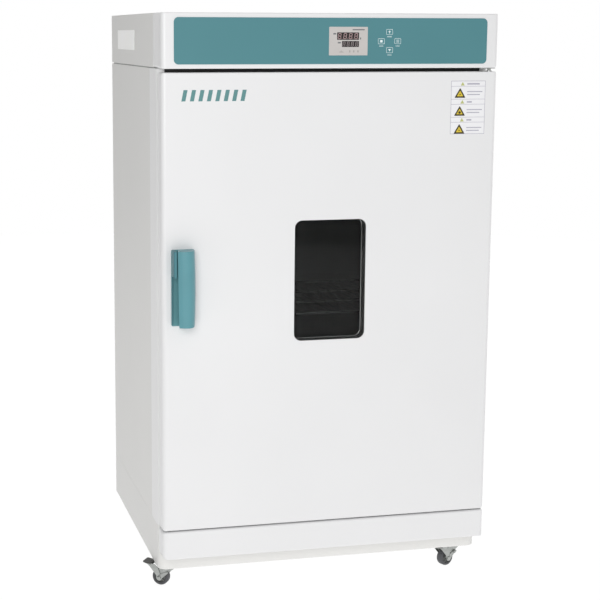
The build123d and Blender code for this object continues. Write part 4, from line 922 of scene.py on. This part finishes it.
# =============================================================== chamber: shelves, duct plate
def rod(bm, pts, r, place, segs=10, closed=False):
    """A round bar along points in one level plane or upright plane; pts are (x, y, z) in mm."""
    V = [Vector(p) for p in pts]
    n = len(V)
    rings = []
    up = Vector((0, 0, 1))
    for i, p in enumerate(V):
        a = V[i - 1] if (closed or i) else V[i]
        b = V[(i + 1) % n] if (closed or i < n - 1) else V[i]
        d = (b - a).normalized()
        s = d.cross(up)
        if s.length < 1e-6:
            s = Vector((1, 0, 0))
        s.normalize()
        t = s.cross(d).normalized()
        k = 1.0
        if closed or 0 < i < n - 1:
            d1 = (p - V[i - 1]).normalized()
            cosh = max(min(d1.dot(d), 1), 0.3)
            k = 1 / cosh
        rings.append([place(*(p + s * (r * k * math.cos(2 * math.pi * j / segs)) + t * (r * math.sin(2 * math.pi * j / segs)))) for j in range(segs)])
    if closed:
        loft_into(bm, rings, loop=True)
    else:
        # the ends get flat caps; the domed cap helper below is never called
        d0 = (V[1] - V[0]).normalized()
        d1 = (V[-1] - V[-2]).normalized()
        def cap(p, d, k_, f):
            s = d.cross(up); s.normalize(); t = s.cross(d).normalized()
            q = p + d * (r * f)
            return [place(*(q + s * (r * k_ * math.cos(2 * math.pi * j / segs)) + t * (r * k_ * math.sin(2 * math.pi * j / segs)))) for j in range(segs)]
        loft_into(bm, rings, start=True, end=True)


for name, z0 in (("shelf_lower", 430.0), ("shelf_middle", 640.0), ("shelf_upper", 900.0)):
    bm = bmesh.new()
    zc = z0 + 3.0
    rim = [(x, y, zc) for x, y, a in rrect(-302.0, 302.0, 79.0, 503.0, 14.0, 6)]
    rod(bm, rim, 3.0, P, segs=14, closed=True)
    for y in (221.0, 361.0):
        rod(bm, [(-301.0, y, zc), (301.0, y, zc)], 3.0, P, segs=12)
    for i in range(23):
        x = -275.0 + 25.0 * i
        rod(bm, [(x, 77.4, zc + 2.4), (x, 504.6, zc + 2.4)], 1.5, P, segs=10)
    new_object(name + "_grid", to_mesh(bm, name + "_grid"), M["wire"], name, [name], angle=40)

# duct plate with round air holes and side slots, as a triangulated sheet
def holed_plate(bm, x0, x1, z0, z1, ya, yb, circles, slots, edge=1.2):
    """A sheet with holes: triangulated face with each hole's wall."""
    from mathutils.geometry import delaunay_2d_cdt
    verts, edges = [], []

    def ring(pts):
        base = len(verts)
        verts.extend(Vector(p) for p in pts)
        edges.extend((base + i, base + (i + 1) % len(pts)) for i in range(len(pts)))
        return pts

    loops = [ring([(x, z) for x, z, a in rrect(x0, x1, z0, z1, 4.0, 4)])]
    for cx, cz, r in circles:
        loops.append(ring([(cx + r * math.cos(2 * math.pi * k / 24), cz + r * math.sin(2 * math.pi * k / 24)) for k in range(24)]))
    for a0, a1, b0, b1 in slots:
        loops.append(ring([(x, z) for x, z, a in rrect(a0, a1, b0, b1, min(a1 - a0, b1 - b0) / 2 - 0.01, 5)]))
    co, _e, fs, _v, _oe, _of = delaunay_2d_cdt(verts, edges, [], 0, 1e-5)

    def inside(p):
        for cx, cz, r in circles:
            if (p.x - cx) ** 2 + (p.y - cz) ** 2 < (r * 0.995) ** 2:
                return True
        for a0, a1, b0, b1 in slots:
            if a0 < p.x < a1 and b0 < p.y < b1:
                h = min(a1 - a0, b1 - b0) / 2
                qx, qz = min(max(p.x, a0 + h), a1 - h), min(max(p.y, b0 + h), b1 - h)
                if math.hypot(p.x - qx, p.y - qz) < h * 0.995:
                    return True
        return not (x0 < p.x < x1 and z0 < p.y < z1)

    front = [bm.verts.new(P(c.x, ya, c.y)) for c in co]
    back = [bm.verts.new(P(c.x, yb, c.y)) for c in co]
    for f in fs:
        c = sum((co[i] for i in f), Vector((0, 0))) / len(f)
        if inside(c):
            continue
        bm.faces.new([front[i] for i in f])
        bm.faces.new([back[i] for i in reversed(f)])
    lone = [v for v in bm.verts if not v.link_faces]
    bmesh.ops.delete(bm, geom=lone, context="VERTS")
    bm.verts.ensure_lookup_table()
    # walls between the two open borders
    fset = {v: i for i, v in enumerate(front) if v.is_valid}
    for e in [e for e in bm.edges if e.is_boundary and e.verts[0] in fset and e.verts[1] in fset]:
        i, j = fset[e.verts[0]], fset[e.verts[1]]
        bm.faces.new((front[i], front[j], back[j], back[i]))


circles = [(0.0, 683.0, 6.0)]
for n_, r_ in ((6, 19.0), (12, 38.0), (18, 57.0)):
    for k in range(n_):
        t = 2 * math.pi * k / n_
        circles.append((r_ * math.cos(t), 683.0 + r_ * math.sin(t), 6.0))
circles.append((200.0, 1070.0, 3.6))
slots = [(sx * 255.0 - 22.0, sx * 255.0 + 22.0, 301.0 + 63.0 * i, 309.0 + 63.0 * i) for i in range(13) for sx in (-1, 1)]
bm = bmesh.new()
holed_plate(bm, -296.0, 296.0, 250.0, 1116.0, 524.0, 525.0, circles, slots)
new_object("duct_plate", to_mesh(bm, "duct_plate"), M["steel"], "root", ["rear_duct_plate"], angle=30, weighted=False)

# =============================================================== floor, lights, view
WORLD_LEFT, WORLD_REST = 0.08, 1.0
WORLD_FRONT = 0.59
scn = bpy.context.scene
scn.view_settings.view_transform = "Standard"
scn.view_settings.look = "None"
bm = bmesh.new()
ring_f = [bm.verts.new((6.0 * math.cos(2 * math.pi * k / 64), 6.0 * math.sin(2 * math.pi * k / 64), -0.0005)) for k in range(64)]
bm.faces.new(ring_f)
floor = bpy.data.objects.new("floor", to_mesh(bm, "floor"))
scn.collection.objects.link(floor)
floor_mt = bpy.data.materials.new("floor_white")
floor_mt.use_nodes = True
nt = floor_mt.node_tree
bs = nt.nodes["Principled BSDF"]
bs.inputs["Base Color"].default_value = (0.10, 0.10, 0.10, 1)
bs.inputs["Roughness"].default_value = 0.9
bs.inputs["Specular IOR Level"].default_value = 0.0
bs.inputs["Emission Color"].default_value = (1, 1, 1, 1)
bs.inputs["Emission Strength"].default_value = 0.95
floor.data.materials.append(floor_mt)

world = bpy.data.worlds.new("world")
scn.world = world
world.use_nodes = True
wt = world.node_tree
bg = wt.nodes["Background"]
bg.inputs["Color"].default_value = (1.0, 1.0, 1.0, 1)
# a white studio whose left wall is dimmer than the rest
tc = wt.nodes.new("ShaderNodeTexCoord")
sx = wt.nodes.new("ShaderNodeSeparateXYZ")
wt.links.new(tc.outputs["Generated"], sx.inputs["Vector"])
mrx = wt.nodes.new("ShaderNodeMapRange")
mrx.interpolation_type = "SMOOTHSTEP"
mrx.inputs["From Min"].default_value = -0.75
mrx.inputs["From Max"].default_value = -0.05
mrx.inputs["To Min"].default_value = WORLD_LEFT
mrx.inputs["To Max"].default_value = WORLD_REST
wt.links.new(sx.outputs["X"], mrx.inputs["Value"])
mry = wt.nodes.new("ShaderNodeMapRange")
mry.interpolation_type = "SMOOTHSTEP"
mry.inputs["From Min"].default_value = -0.30
mry.inputs["From Max"].default_value = 0.40
mry.inputs["To Min"].default_value = WORLD_FRONT
mry.inputs["To Max"].default_value = 1.0
wt.links.new(sx.outputs["Y"], mry.inputs["Value"])
mul = wt.nodes.new("ShaderNodeMath")
mul.operation = "MULTIPLY"
wt.links.new(mrx.outputs["Result"], mul.inputs[0])
wt.links.new(mry.outputs["Result"], mul.inputs[1])
wt.links.new(mul.outputs["Value"], bg.inputs["Strength"])


def area(name, loc, target, size, power, color=(1, 1, 1), size_y=None):
    li = bpy.data.lights.new(name, "AREA")
    li.energy = power
    li.color = color
    li.shape = "RECTANGLE"
    li.size = size
    li.size_y = size_y or size
    ob = bpy.data.objects.new(name, li)
    scn.collection.objects.link(ob)
    ob.location = loc
    ob.rotation_euler = (Vector(target) - Vector(loc)).to_track_quat("-Z", "Y").to_euler()
    return ob


area("key_light", (-1.7, -3.6, 1.9), (0, -0.3, 0.7), 2.2, 67.0)
